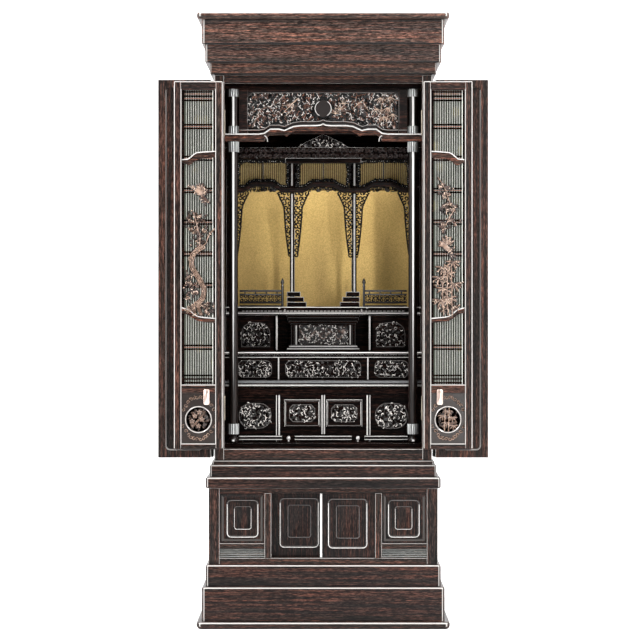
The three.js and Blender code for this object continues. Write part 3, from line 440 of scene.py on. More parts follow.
# a grey that stands for the reflection along a shelf's nosing: painted reflection
NOSING_REFLECTION = smooth_rod_or_painted_light("shelf nosing with painted reflection", (0.1, 0.103, 0.106), 0.4, 0.3)
# a dim painted highlight, for rims and for the tops of rings in shade
DIM_HIGHLIGHT = smooth_rod_or_painted_light("dim painted highlight rod", (0.11, 0.1, 0.095), 0.2)
# the brightest painted highlight, for lines along edges, rails, rings and pillars
BRIGHT_HIGHLIGHT = smooth_rod_or_painted_light("bright painted highlight bead", (0.62, 0.6, 0.58))
# painted highlight beside the lattice laths
LATH_HIGHLIGHT = smooth_rod_or_painted_light("painted highlight on lattice laths", (0.75, 0.76, 0.7), 0.4)
CARVED = carved_wood("carved dark wood", (0.0008, 0.0007, 0.0007), (0.004, 0.003, 0.0027),
                     (0.08, 0.07, 0.065))
CARVED_TAN = carved_wood("carved reddish wood", (0.003, 0.002, 0.0015), (0.035, 0.017, 0.011),
                         (0.3, 0.2, 0.145))
TRANSOM_WOOD = carved_wood("carved transom wood", (0.001, 0.001, 0.001), (0.012, 0.0055, 0.004),
                           (0.12, 0.075, 0.055))
# a darker copy of the carved wood, as painted shade
CARVED_IN_SHADE = carved_wood("carved wood in shade", (0.0008, 0.0006, 0.0006), (0.005, 0.003, 0.0025),
                         (0.05, 0.028, 0.022))
GOLD = gilt("gilt board", (0.78, 0.54, 0.18), (0.62, 0.41, 0.135))
GOLD_RIBS = gilt("gilt ribs", (0.8, 0.62, 0.3), (0.6, 0.44, 0.2), 0.5)
CAP_METAL = brushed_metal("grey cap metal", (0.42, 0.43, 0.42), (0.2, 0.2, 0.2), rough=0.34)
TAG_METAL = brushed_metal("pinkish tag metal", (0.8, 0.62, 0.55), (0.6, 0.46, 0.4))
KNUCKLE_METAL = brushed_metal("dark hinge metal", (0.3, 0.26, 0.2), (0.14, 0.12, 0.1))
GAUZE = gauze_cloth("painted gauze")


# Relief carving on a grid of heights, in metres along the panel's own x and z

class Carving:
    def __init__(self, xs, zs, step):
        self.x, self.z = np.meshgrid(np.arange(xs[0], xs[1] + step / 2, step),
                                     np.arange(zs[0], zs[1] + step / 2, step))
        self.h = np.zeros_like(self.x)

    def window(self, x, z, reach):
        """The part of the grid within reach of a point, as two slices."""
        col = np.searchsorted(self.x[0], (x - reach, x + reach))
        row = np.searchsorted(self.z[:, 0], (z - reach, z + reach))
        return slice(row[0], row[1]), slice(col[0], col[1])

    def lift(self, part, height):
        self.h[part] = np.maximum(self.h[part], height)

    def oval(self, x, z, rx, rz, turn=0.0, height=1.0, dome=0.5):
        part = self.window(x, z, max(rx, rz))
        a, b = self.x[part] - x, self.z[part] - z
        u = (a * math.cos(turn) + b * math.sin(turn)) / rx
        v = (-a * math.sin(turn) + b * math.cos(turn)) / rz
        d = 1 - u * u - v * v
        self.lift(part, np.where(d > 0, height * np.clip(d, 0, 1) ** dome, 0))

    def leaf(self, x, z, length, width, angle, height=1.0):
        part = self.window(x, z, length)
        a, b = self.x[part] - x, self.z[part] - z
        u = (a * math.cos(angle) + b * math.sin(angle)) / length
        v = (-a * math.sin(angle) + b * math.cos(angle)) / width
        inside = (u > 0) & (u < 1)
        edge = 0.5 * np.sin(np.pi * np.clip(u, 0, 1)) ** 0.7
        d = np.where(inside, 1 - np.abs(v) / (edge + 1e-6), -1)
        vein = 0.22 * np.exp(-(v / 0.07) ** 2)
        self.lift(part, np.where(d > 0, height * (np.clip(d, 0, 1) ** 0.45 - vein), 0))

    def branch(self, points, radius, height=1.0, taper=0.6, steps=10):
        line = smooth_line(points, steps)
        for i in range(len(line) - 1):
            share = i / (len(line) - 1)
            r = radius * (1 - (1 - taper) * share)
            mid = (line[i] + line[i + 1]) / 2
            reach = np.linalg.norm(line[i + 1] - line[i]) / 2 + r
            part = self.window(mid[0], mid[1], reach)
            p = np.stack([self.x[part], self.z[part]], -1) - line[i]
            along = line[i + 1] - line[i]
            t = np.clip((p @ along) / (along @ along + 1e-12), 0, 1)
            d = 1 - (np.linalg.norm(p - t[..., None] * along, axis=-1) / r) ** 2
            self.lift(part, np.where(d > 0, height * np.sqrt(np.clip(d, 0, 1)), 0))

    def blossom(self, x, z, radius, height=1.0, turn=0.3):
        petals = 5
        for i in range(petals):
            t = turn + 2 * math.pi * i / petals
            self.oval(x + 0.55 * radius * math.cos(t), z + 0.55 * radius * math.sin(t),
                      0.5 * radius, 0.4 * radius, t, height * 0.9)
        self.oval(x, z, 0.24 * radius, 0.24 * radius, 0, height)

    def curl(self, x, z, radius, start, way, thick, height=1.0, turns=1.3):
        count = 12
        points = []
        for i in range(count):
            share = i / (count - 1)
            t = start + way * turns * 2 * math.pi * share
            r = radius * (1 - 0.8 * share)
            points.append((x + r * math.cos(t), z + r * math.sin(t)))
        self.branch(points, thick, height, 0.7, 2)

    def fan(self, x, z, length, width, count, middle, spread, height=1.0):
        for i in range(count):
            share = i / max(count - 1, 1) - 0.5
            self.leaf(x, z, length * (1 - 0.3 * abs(share)), width, middle + spread * share, height)

    def bird(self, x, z, size, facing=1, height=1.0):
        def at(a, b):
            return x + a * size * facing, z + b * size
        lean = 0.6 if facing > 0 else math.pi - 0.6
        self.leaf(*at(0.1, 0.02), size * 0.75, size * 0.2, lean + math.pi + 0.15 * facing, height * 0.8)
        self.leaf(*at(0.05, -0.02), size * 0.7, size * 0.14, lean + math.pi + 0.45 * facing, height * 0.7)
        self.oval(*at(0.05, 0.05), size * 0.32, size * 0.17, lean, height)
        for k in range(4):
            self.leaf(*at(0.12 - 0.05 * k, 0.1 - 0.03 * k), size * (0.5 - 0.05 * k), size * 0.1,
                      lean + math.pi - facing * (0.15 + 0.25 * k), height * (0.95 - 0.05 * k))
        self.oval(*at(0.32, 0.24), size * 0.12, size * 0.11, 0, height)
        self.leaf(*at(0.38, 0.26), size * 0.16, size * 0.06, lean - 0.4 * facing, height * 0.9)

    def foliage(self, seed, pitch, low=0.45, high=0.85):
        """Small leaves, curls and blossoms that fill the whole field."""
        luck = random.Random(seed)
        x0, x1 = self.x[0, 0], self.x[0, -1]
        z0, z1 = self.z[0, 0], self.z[-1, 0]
        across = max(1, round((x1 - x0) / pitch))
        upward = max(1, round((z1 - z0) / pitch))
        for i in range(across):
            for j in range(upward):
                x = x0 + (i + 0.5 + luck.uniform(-0.3, 0.3)) * (x1 - x0) / across
                z = z0 + (j + 0.5 + luck.uniform(-0.3, 0.3)) * (z1 - z0) / upward
                height = luck.uniform(low, high)
                kind = luck.random()
                angle = luck.uniform(0, 2 * math.pi)
                if kind < 0.5:
                    self.leaf(x, z, pitch * 0.95, pitch * 0.42, angle, height)
                    self.leaf(x, z, pitch * 0.8, pitch * 0.36, angle + 1.9, height * 0.9)
                elif kind < 0.8:
                    self.curl(x, z, pitch * 0.5, angle, luck.choice((-1, 1)), pitch * 0.12, height)
                else:
                    self.blossom(x, z, pitch * 0.52, height, angle)

    def cluster(self, x, z, rx, rz, seed, pitch, low=0.55, high=1.0, blossoms=0.15):
        """Leaves, curls and blossoms scattered over an oval."""
        luck = random.Random(seed)
        for _ in range(max(3, round(math.pi * rx * rz / (pitch * pitch) * 1.5))):
            r, t = math.sqrt(luck.random()), luck.uniform(0, 2 * math.pi)
            px, pz = x + rx * r * math.cos(t), z + rz * r * math.sin(t)
            height, angle, kind = luck.uniform(low, high), luck.uniform(0, 2 * math.pi), luck.random()
            if kind < blossoms:
                self.blossom(px, pz, pitch * 0.6, height, angle)
            elif kind < 0.35:
                self.curl(px, pz, pitch * 0.55, angle, luck.choice((-1, 1)), pitch * 0.15, height)
            else:
                self.leaf(px, pz, pitch * 1.15, pitch * 0.5, angle, height)

    def trunk(self, points, radius):
        """A thick stem with grooved bark."""
        self.branch(points, radius, 0.66, 0.75)
        for k in (-0.62, -0.2, 0.25, 0.66):
            line = smooth_line(points, 5)
            shifted = []
            for i, p in enumerate(line):
                a, b = line[max(i - 1, 0)], line[min(i + 1, len(line) - 1)]
                along = (b - a) / (np.linalg.norm(b - a) + 1e-9)
                shifted.append((p[0] - along[1] * radius * k * (1 + 0.12 * math.sin(i * 1.3 + 9 * k)),
                                p[1] + along[0] * radius * k))
            self.branch(shifted, radius * 0.17, 1.0, 0.8, 1)

    def relief(self, form, front_y, depth, toward=-1, inside=None, rim=0.0):
        """Adds the panel to form: heights of 1 reach front_y, and the ground lies depth behind it."""
        h = np.clip(self.h, 0, 1)
        if inside is not None:
            shape = inside(self.x, self.z)
            h = np.where(shape > 0, h, rim)
        form.sheet(self.x, front_y - toward * depth * (1 - h), self.z, shade=np.clip(h, 0, 1))

    def openwork(self, form, front_y, depth, toward=-1):
        """Adds only what stands above the ground, so that the gaps between are open."""
        h = np.clip(self.h, 0, 1)
        solid = h > 0.04
        keep = solid[:-1, :-1] | solid[:-1, 1:] | solid[1:, 1:] | solid[1:, :-1]
        form.sheet(self.x, front_y - toward * depth * (1 - h), self.z, keep=keep, shade=np.clip(h, 0.15, 1))


def smooth_line(points, steps):
    """Points of a smooth curve through the given points."""
    p = [np.array(q, float) for q in points]
    p = [2 * p[0] - p[1]] + p + [2 * p[-1] - p[-2]]
    line = []
    for i in range(1, len(p) - 2):
        for k in range(steps):
            t = k / steps
            line.append(0.5 * (2 * p[i] + (p[i + 1] - p[i - 1]) * t
                               + (2 * p[i - 1] - 5 * p[i] + 4 * p[i + 1] - p[i + 2]) * t * t
                               + (3 * p[i] - p[i - 1] - 3 * p[i + 1] + p[i + 2]) * t ** 3))
    line.append(p[-2])
    return line


def rounded_ring(xs, zs, radius, y, points=5):
    """A rounded rectangle as a ring of points at y."""
    ring = []
    for x, z, turn in ((xs[1], zs[0], -0.5), (xs[1], zs[1], 0), (xs[0], zs[1], 0.5), (xs[0], zs[0], 1)):
        cx = x - radius if x == xs[1] else x + radius
        cz = z - radius if z == zs[1] else z + radius
        for k in range(points):
            t = math.pi * (turn + 0.5 * k / (points - 1))
            ring.append((cx + radius * math.cos(t), y, cz + radius * math.sin(t)))
    return ring


def inset(xs, zs, by):
    return (xs[0] + by, xs[1] - by), (zs[0] + by, zs[1] - by)


def mirrored(side, near, far):
    """From near to far, in millimetres from the middle, on the side -1 or 1."""
    return tuple(sorted((side * near * MM, side * far * MM)))


def circle(x, y, z, radius, turns, count):
    """Points at y on a circle or an arc. turns are its first and last angle."""
    return [(x + radius * math.cos(t), y, z + radius * math.sin(t)) for t in np.linspace(*turns, count)]


def inside_box(xs, zs, corner=0.0, cut=False):
    """A test for points inside a rectangle with rounded corners, or cut ones."""
    cx, cz = (xs[0] + xs[1]) / 2, (zs[0] + zs[1]) / 2
    hx, hz = (xs[1] - xs[0]) / 2, (zs[1] - zs[0]) / 2

    def test(x, z):
        a, b = np.abs(x - cx), np.abs(z - cz)
        if cut:
            return np.where((a < hx) & (b < hz) & (a + b < hx + hz - corner), 1, -1)
        da, db = np.maximum(a - hx + corner, 0), np.maximum(b - hz + corner, 0)
        return np.where((a < hx) & (b < hz) & (da * da + db * db <= corner * corner + 1e-12), 1, -1)
    return test


def span(node):
    low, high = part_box(node)
    return (low[0], high[0]), (low[1], high[1]), (low[2], high[2])


# Boards that keep their CAD form get a material and rounded arrises

def dress(node, material, bevel=2 * MM):
    obj = frame["nodes"][node]
    obj.data.materials.clear()
    obj.data.materials.append(material)
    for face in obj.data.polygons:
        face.material_index = 0
    if bevel:
        weld = obj.modifiers.new("joined corners", "WELD")
        weld.merge_threshold = 0.02 * MM
        flat = obj.modifiers.new("whole faces", "DECIMATE")
        flat.decimate_type = "DISSOLVE"
        flat.angle_limit = math.radians(1)
        add_bevel(obj, bevel)


def plan_ring(half, front, back, corner, z):
    """A level outline round the cabinet, with rounded front corners."""
    ring = [(half, back, z), (-half, back, z)]
    for side in (-1, 1):
        turn = np.linspace(0, math.pi / 2, 9)
        points = [(side * (half - corner + corner * math.cos(t)), front + corner - corner * math.sin(t), z)
                  for t in turn]
        ring.extend(points if side < 0 else points[::-1])
    return ring


def moulded(form, half, front, back, zs, corner, top, low):
    """A board round the cabinet with rounded front corners and with rounded top and lower arrises."""
    steps = np.linspace(0, math.pi / 2, 7)
    profile = [(zs[0] + low * (1 - math.cos(t)), low * (1 - math.sin(t))) for t in steps]
    profile += [(zs[1] - top * (1 - math.cos(t)), top * (1 - math.sin(t))) for t in steps[::-1]]
    form.loft([plan_ring(half - by, front + by, back, max(corner - by, 0.8 * MM), z) for z, by in profile])


def mouldings():
    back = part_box("top_board")[1][1]
    body_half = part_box("body_front_frame")[1][0]
    body_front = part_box("body_front_frame")[0][1]
    # node, then for each board of it: reach, lower and upper height, corner, top and lower rounding
    boards = {"lower_plinth": ((37.5, 0, 15.5, 13, 5, 7.7), (26.5, 15, 91, 9, 4.5, 1)),
              "upper_plinth": ((18.5, 91, 139, 8, 4.2, 1),),
              "table_top": ((18.5, 308, 333, 8, 5, 4),),
              "moulding_frame": ((9.5, 333, 359.5, 6, 3.6, 1), (4.5, 359, 368.5, 5, 2.2, 1)),
              "cornice_lower": ((9, 1225, 1250, 4, 1, 2),),
              "cornice_middle": ((19.5, 1250, 1290, 7, 1, 2),),
              "cornice_upper": ((26.5, 1290, 1344, 9, 1, 2),),
              "top_board": ((37, 1344, 1360, 13, 6, 7),)}
    for node, shapes in boards.items():
        form = Form()
        for reach, low_z, high_z, corner, top, low in shapes:
            moulded(form, body_half + reach * MM, body_front - reach * MM, back, (low_z * MM, high_z * MM),
                    corner * MM, top * MM, low * MM)
        head = low_z > 1000
        form.make(f"{node}_board", WOOD_HEAD if head else WOOD_BASE, replaces=[node])


def cornice_shadow_lines():
    """Painted shadow lines along the front of the head: dark rods under each cornice, and under the top
    board.
    """
    shadow_lines = Form()
    for node, top in (("lower", False), ("middle", False), ("upper", False), ("upper", True)):
        xs, ys, zs = span(f"cornice_{node}")
        z = zs[1] - 1.6 * MM if top else zs[0] + 1.2 * MM
        shadow_lines.across((xs[0] + 8 * MM, xs[1] - 8 * MM), ys[0] + 1.2 * MM, z, 1.9 * MM)
    shadow_lines.make("cornice_shadow_lines", SCROLL_WOOD_AND_SHADE)


def dress_boards():
    for node in ("body_floor", "lower_floor", "lower_back"):
        dress(node, WOOD_X, 3 * MM)
    dress("rainbow_beam", WOOD_RED, 2 * MM)
    for node in ("body_ceiling", "inner_floor", "altar_platform"):
        dress(node, WOOD_DARK, 3 * MM)
    for node in ("lower_side_left", "lower_side_right"):
        dress(node, WOOD_Z, 3 * MM)
    for node in ("body_side_left", "body_side_right", "body_back"):
        dress(node, WOOD_DARK_Z, 3 * MM)
    for side in ("left", "right"):
        for leaf in ("a", "b"):
            dress(f"outer_{side}_{leaf}", WOOD_Z, 1.6 * MM)
    pillars, highlight_beads = Form(), Form()
    for side in ("left", "right"):
        xs, ys, zs = span(f"inner_pillar_{side}")
        pillars.box(xs, (ys[0] + 1.2 * MM, ys[1]), zs)
        x = (xs[0] + xs[1]) / 2
        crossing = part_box("altar_canopy")[0][2] + CANOPY_BEAM
        # a rod of painted highlight down the front of each inner pillar, below and above the canopy's beam
        for low, high in ((zs[0], crossing + 3 * MM), (crossing + 22 * MM, zs[1] - 18 * MM)):
            highlight_beads.upright(x, ys[0] + 2 * MM, (low, high), 2.3 * MM, 12)
    pillars.make("inner_pillars", WOOD_DARK_Z, replaces=["inner_pillar_left", "inner_pillar_right"])
    highlight_beads.make("inner_pillar_highlights", BRIGHT_HIGHLIGHT)


def frames():
    """The fixed front frames and the screens' frames: stiles run upwards and rails across."""
    xs, ys, zs = span("body_front_frame")
    ways = span("inner_lintel")[2][1] - 2.5 * MM
    half = 219.5 * MM
    stiles, rails = Form(), Form()
    for side in (-1, 1):
        stiles.box((side * half, side * xs[1]), ys, zs)
    rails.box((-half - 3 * MM, half + 3 * MM), (ys[0] + 0.6 * MM, ys[1]), (zs[0], 394 * MM))
    rails.box((-half - 3 * MM, half + 3 * MM), (ys[0] + 0.6 * MM, ys[1]), (ways, zs[1]))
    stiles.make("body_stiles", WOOD_Z, bevel=2.6 * MM, replaces=["body_front_frame"])
    rails.make("body_rails", WOOD_X, bevel=1.8 * MM)

    xs, ys, zs = span("lower_front_frame")
    opening = 229.5 * MM
    stiles, rails, reeds = Form(), Form(), Form()
    rail_y = (ys[0] + 0.8 * MM, ys[1])
    for side in (-1, 1):
        stiles.box((side * opening, side * xs[1]), ys, zs)
        stiles.box((side * 115 * MM, side * 130 * MM), ys, (153 * MM, 297 * MM))
        panel_x = side * 127 * MM, side * (opening + 3 * MM)
        rails.box(panel_x, rail_y, (177 * MM, 186 * MM))
        rails.box(panel_x, (ys[0] + 4 * MM, ys[1]), (173 * MM, 178 * MM))
        reeds.box(panel_x, (ys[0] + 7 * MM, ys[1]), (153 * MM, 174 * MM))
        for k in range(5):
            z = (155.4 + 4 * k) * MM
            reeds.across(panel_x, ys[0] + 7 * MM, z, 1.9 * MM, 10)
    rails.box((-opening - 3 * MM, opening + 3 * MM), rail_y, (zs[0], 153.5 * MM))
    rails.box((-opening - 3 * MM, opening + 3 * MM), (ys[0] + 3 * MM, ys[1]), (296.5 * MM, zs[1]))
    stiles.make("lower_stiles", WOOD_Z, bevel=1.3 * MM, replaces=["lower_front_frame"])
    rails.make("lower_rails", WOOD_X, bevel=1.3 * MM)
    reeds.make("lower_reeds", REED)

    for side in ("left", "right"):
        for leaf in ("a", "b"):
            xs, ys, zs = span(f"screen_{side}_{leaf}_frame")
            width, low = 17.5 * MM, zs[0]
            stiles, rails = Form(), Form()
            stiles.box((xs[0], xs[0] + width), ys, zs)
            stiles.box((xs[1] - width, xs[1]), ys, zs)
            across = (xs[0] + 3 * MM, xs[1] - 3 * MM)
            inner = (xs[0] + width - 3 * MM, xs[1] - width + 3 * MM)
            thin = (ys[0] + 0.5 * MM, ys[1] - 0.5 * MM)
            rails.box(across, thin, (low, low + 13.5 * MM))
            rails.box(across, thin, (zs[1] - 20 * MM, zs[1]))
            rails.box(inner, thin, (low + 123.5 * MM, low + 143.5 * MM))
            body = f"screen_{side}_{leaf}"
            stiles.make(f"screen_stiles_{side}_{leaf}", WOOD_Z, body, bevel=3.4 * MM,
                        replaces=[f"screen_{side}_{leaf}_frame"])
            rails.make(f"screen_rails_{side}_{leaf}", WOOD_X, body, bevel=3.4 * MM)


# Raised panels of the low cabinet

def raised_panel(form, lines, shaded, xs, zs, back_y, base_y, ring, inner):
    """A board with a bevelled frame, a raised ring and a raised inner field, edged with rods of painted
    highlight: bright on the lower and side parts, dimmer (painted shade) along the top and all round a door's
    inner field.
    """
    form.box(xs, (base_y, back_y), zs)
    ring_x, inner_x = ring[0], inner[0]
    # for each step of both: distance inwards, distance forwards and corner radius
    ring_steps = ((0, 0, 7), (0.6, 2.2, 7), (3.4, 2.8, 6), (4.6, 1.2, 5), (9, 0.9, 4))
    inner_steps = ((0, 0.4, 6), (0.8, 2.4, 6), (3.2, 2.8, 5), (4.6, 2.4, 4))
    for field, steps in ((ring, ring_steps), (inner, inner_steps)):
        form.loft([rounded_ring(*inset(*field, by * MM), radius * MM, base_y - out * MM)
                   for by, out, radius in steps])
    for (field_x, field_z), out, radius, thick in ((ring, 2.2, 9, 1.0), (inner, 2.2, 5, 0.6)):
        line = rounded_ring(*inset(field_x, field_z, 1.3 * MM), radius * MM, base_y - out * MM, 6)
        on_door = ring_x[1] - ring_x[0] > 75 * MM
        shown = shaded if field_x is inner_x and on_door else lines
        shown.rod(line[17:] + line[:7], thick * MM, 6)
        shaded.rod(line[6:18], thick * 0.9 * MM, 6)


def low_cabinet():
    for side in ("left", "right"):
        sign = -1 if side == "left" else 1
        xs, ys, zs = span(f"lower_panel_{side}")
        panel, lines = Form(), Form()
        ring = mirrored(sign, 143.5, 214), (198 * MM, 282 * MM)
        inner = mirrored(sign, 158.5, 198), (215.5 * MM, 268 * MM)
        shaded = Form()
        raised_panel(panel, lines, shaded, xs, zs, ys[1], ys[0] + 4.5 * MM, ring, inner)
        shaded.make(f"side_panel_faint_lines_{side}", DIM_HIGHLIGHT)
        moulding = ((0, 0), (1, 4.2), (4, 4.4), (8, 0.6), (9, 0))
        rings = [rounded_ring(*inset(xs, zs, by * MM), 0.5 * MM, ys[0] + 4.5 * MM - out * MM, 3)
                 for by, out in moulding]
        panel.loft(rings, closed_ends=False)
        panel.make(f"side_panel_{side}", WOOD_PANEL, replaces=[f"lower_panel_{side}"])
        # rods of painted highlight round the ring and the field
        lines.make(f"side_panel_lines_{side}", BRIGHT_HIGHLIGHT)
        xs, ys, zs = span(f"sliding_door_{side}")
        door, lines = Form(), Form()
        left = xs[0]
        ring = (left + 17.5 * MM, left + 105 * MM), (174 * MM, 284.5 * MM)
        inner = (left + 35 * MM, left + 88 * MM), (196 * MM, 270 * MM)
        shaded = Form()
        raised_panel(door, lines, shaded, xs, zs, ys[1], ys[0] + 2 * MM, ring, inner)
        shaded.make(f"sliding_door_faint_lines_{side}", DIM_HIGHLIGHT, f"slide_{side}")
        door.make(f"sliding_door_face_{side}", WOOD_PANEL, f"slide_{side}", replaces=[f"sliding_door_{side}"])
        lines.make(f"sliding_door_lines_{side}", BRIGHT_HIGHLIGHT, f"slide_{side}")
    # a painted highlight line down the right door's left edge
    edge = Form()
    xs, ys, zs = span("sliding_door_right")
    edge.box((xs[0] + 0.1 * MM, xs[0] + 4.6 * MM), (ys[0] + 0.2 * MM, ys[0] + 3 * MM), zs)
    edge.make("sliding_door_edge_highlight", BRIGHT_HIGHLIGHT, "slide_right")


# Pillars with metal caps

def fluted_cap(form, x, y, z0, z1, radius):
    form.turned([(0, z0), (radius, z0), (radius, z0 + 1 * MM), (radius, z1 - 1 * MM), (radius, z1), (0, z1)],
                x, y, 96, 1.4 * MM, 16)


def pillars():
    shafts, caps = Form(), Form()
    for side in (-1, 1):
        xs, ys, zs = span("front_pillar_left" if side < 0 else "front_pillar_right")
        x, y, radius = (xs[0] + xs[1]) / 2, (ys[0] + ys[1]) / 2, (xs[1] - xs[0]) / 2
        r = 10 * MM
        foot = zs[0] + 20 * MM
        shafts.turned([(0, zs[0]), (8 * MM, zs[0]), (12 * MM, zs[0] + 4 * MM), (12.3 * MM, zs[0] + 8 * MM),
                       (8 * MM, zs[0] + 13 * MM), (7 * MM, foot - 4 * MM), (r, foot), (r, zs[1]), (0, zs[1])],
                      x, y, 40)
        fluted_cap(caps, x, y, foot, foot + 23 * MM, radius)
        fluted_cap(caps, x, y, zs[1] - 23 * MM, zs[1], radius)
        lintel = span("inner_lintel")[2]
        top = lintel[1] - 13 * MM
        shafts.turned([(0, lintel[0]), (r, lintel[0]), (r, top), (0, top)], x, y, 40)
        fluted_cap(caps, x, y, lintel[0], lintel[0] + 17 * MM, radius)
        fluted_cap(caps, x, y, top - 17 * MM, top, radius)
    xs, ys, zs = span("inner_lintel")
    rail = Form()
    rail.box(xs, ys, (zs[1] - 13 * MM, zs[1]))
    rail.make("cross_rail", WOOD_DARK, bevel=2 * MM)
    # the shafts' wood paints a highlight line down their fronts
    shafts.make("front_pillars", PILLAR_WOOD_WITH_HIGHLIGHT,
                replaces=["front_pillar_left", "front_pillar_right", "inner_lintel"])
    caps.make("pillar_caps", CAP_METAL, slot="cap_metal", smooth_angle=60)


# The lobed beam's lines, from the middle outwards: distance and height above its straight end
LOBES = [(0, 23), (6, 20), (17, 19), (50, 19), (67, 17), (78, 12), (87, 8), (99, 11), (119, 11), (132, 2),
         (144, 0)]


def lobe_line(z, y, end, shift=0.0):
    half = [(x * MM, z + rise * MM + shift) for x, rise in LOBES] + [(end, z + shift)]
    whole = [(-x, h) for x, h in half[::-1]] + half[1:]
    return [(x, y, h) for x, h in whole]


def beam_and_transom():
    xs, ys, zs = span("rainbow_beam")
    straight = zs[0] + 18 * MM
    # rods of painted highlight along the lobed beam's top line and round its hooked ends
    highlight_beads = Form()
    highlight_beads.rod(lobe_line(straight, ys[0] - 0.5 * MM, xs[1], -1.2 * MM), 1.6 * MM, 8)
    lower_rim = Form()
    lower_rim.rod(lobe_line(straight, ys[0] + 1 * MM, 188 * MM, 7.5 * MM), 1.3 * MM, 8)
    lower_rim.make("transom_lower_rim", WOOD_RED)
    for side in (-1, 1):
        hook = [(side * (132 - 7 * math.cos(t)) * MM, ys[0], zs[0] + (1 + 12 * math.sin(t)) * MM)
                for t in np.linspace(-0.1, 1.6, 7)]
        highlight_beads.rod(hook, 1.1 * MM, 6)
    highlight_beads.make("beam_highlights", BRIGHT_HIGHLIGHT)

    xs, ys, zs = span("transom_carving")
    top = zs[1]
    board_low = straight
    field_x = (-170 * MM, 170 * MM)
    field_z = (board_low + 13 * MM, top - 8 * MM)
    carving = Carving(field_x, field_z, COARSE)
    low, high = field_z
    middle = (low + high) / 2
    carving.foliage(11, 11 * MM, 0.35, 0.6)
    carving.branch([(-160 * MM, low), (-140 * MM, middle), (-112 * MM, middle + 12 * MM),
                    (-86 * MM, high - 6 * MM)], 3 * MM, 0.95)
    carving.branch([(-140 * MM, middle), (-120 * MM, middle - 10 * MM), (-96 * MM, middle - 4 * MM)],
                   2.4 * MM, 0.9)
    for x, z in ((-150, 68), (-128, 74), (-106, 30), (-132, 22), (-160, 36), (-98, 62)):
        carving.blossom(x * MM, low + z * MM, 7 * MM, 1)
    carving.bird(-72 * MM, middle + 8 * MM, 46 * MM, -1)
    carving.fan(-40 * MM, low, 30 * MM, 6 * MM, 5, 1.57, 2.2, 0.95)
    carving.blossom(-34 * MM, middle + 14 * MM, 8 * MM, 0.95)
    carving.fan(40 * MM, middle - 4 * MM, 24 * MM, 9 * MM, 6, 1.57, 2.6, 1)
    carving.bird(84 * MM, middle + 10 * MM, 44 * MM, -1)
    carving.blossom(62 * MM, low + 24 * MM, 9 * MM, 0.95)
    for x, lean in ((128, 6), (142, 12)):
        carving.branch([(x * MM, low - 4 * MM), ((x + lean / 2) * MM, middle), ((x + lean) * MM, high)],
                       2.2 * MM, 0.95, 0.9)
    for x, z, angle in ((130, 70, -1.4), (150, 76, -1.7), (146, 40, -1.5), (156, 22, -1.8), (122, 34, -1.4)):
        carving.fan(x * MM, low + z * MM, 24 * MM, 5 * MM, 5, angle, 2.6, 1)
    hole = inside_box(field_x, field_z, 11 * MM, cut=True)
    lobes = np.array(lobe_line(straight, 0, INNER_HALF, 10 * MM))

    def open_field(x, z):
        return np.where(z > np.interp(x, lobes[:, 0], lobes[:, 2]), hole(x, z), -1)
    disc = (carving.x / (19 * MM)) ** 2 + ((carving.z - middle - 4 * MM) / (19 * MM)) ** 2
    carving.h = np.where(disc < 1.25, 0.1, carving.h)
    carving.h = np.where(disc < 1, 0.5, carving.h)
    carved = Form()
    carving.relief(carved, ys[0] + 2.5 * MM, 9 * MM, inside=open_field, rim=0.5)

    def off_disc(x, z):
        return open_field(np.array(x), np.array(z)) > 2 * MM and abs(x) + abs(z - middle) * 0.6 > 24 * MM
    # marks of painted highlight, pale and reddish, on the carving outside the disc
    for word, material, seed, share in (("pale", GLINT, 13, 0.52), ("red", GLINT_RED, 14, 0.4)):
        marks = Form()
        painted_light_marks(marks, field_x, field_z, ys[0] + 2.0 * MM, seed, 6.0 * MM, off_disc, 0.5 * MM, share)
        marks.make(f"transom_glints_{word}", material, slot="carving", smooth_angle=ROUND)
    carved.make("transom_relief", TRANSOM_WOOD, slot="carving", replaces=["transom_carving"])
    board = Form()
    for side in (-1, 1):
        board.box((side * 169 * MM, side * (xs[1])), ys, (board_low, top))
    board.box((-169 * MM, 169 * MM), ys, (top - 8 * MM, top))
    board.box((-170 * MM, 170 * MM), (ys[0] + 13 * MM, ys[1]), (board_low, top))
    board.make("transom_board", WOOD_PLAIN, bevel=1.5 * MM)
    # a rod of dim painted highlight along the sides and top of the carving's cut-cornered rim
    rim = Form()
    c = 11 * MM
    corner = [(field_x[0], low + c), (field_x[0], high - c), (field_x[0] + c, high), (field_x[1] - c, high),
              (field_x[1], high - c), (field_x[1], low + c)]
    rim.rod([(x, ys[0] + 0.5 * MM, z) for x, z in corner], 1.0 * MM, 6)
    # rods of painted highlight on the left and right of the disc's edge
    ring = Form()
    for t0, t1 in ((-1.1, 1.1), (2.05, 4.25)):
        ring.rod(circle(0, ys[0] + 1.6 * MM, middle + 4 * MM, 18 * MM, (t0, t1), 17),
                 [0.3 * MM] + [1.0 * MM] * 15 + [0.3 * MM], 6)
    ring.make("transom_disc_highlights", BRIGHT_HIGHLIGHT)
    rim.make("transom_rim", DIM_HIGHLIGHT)
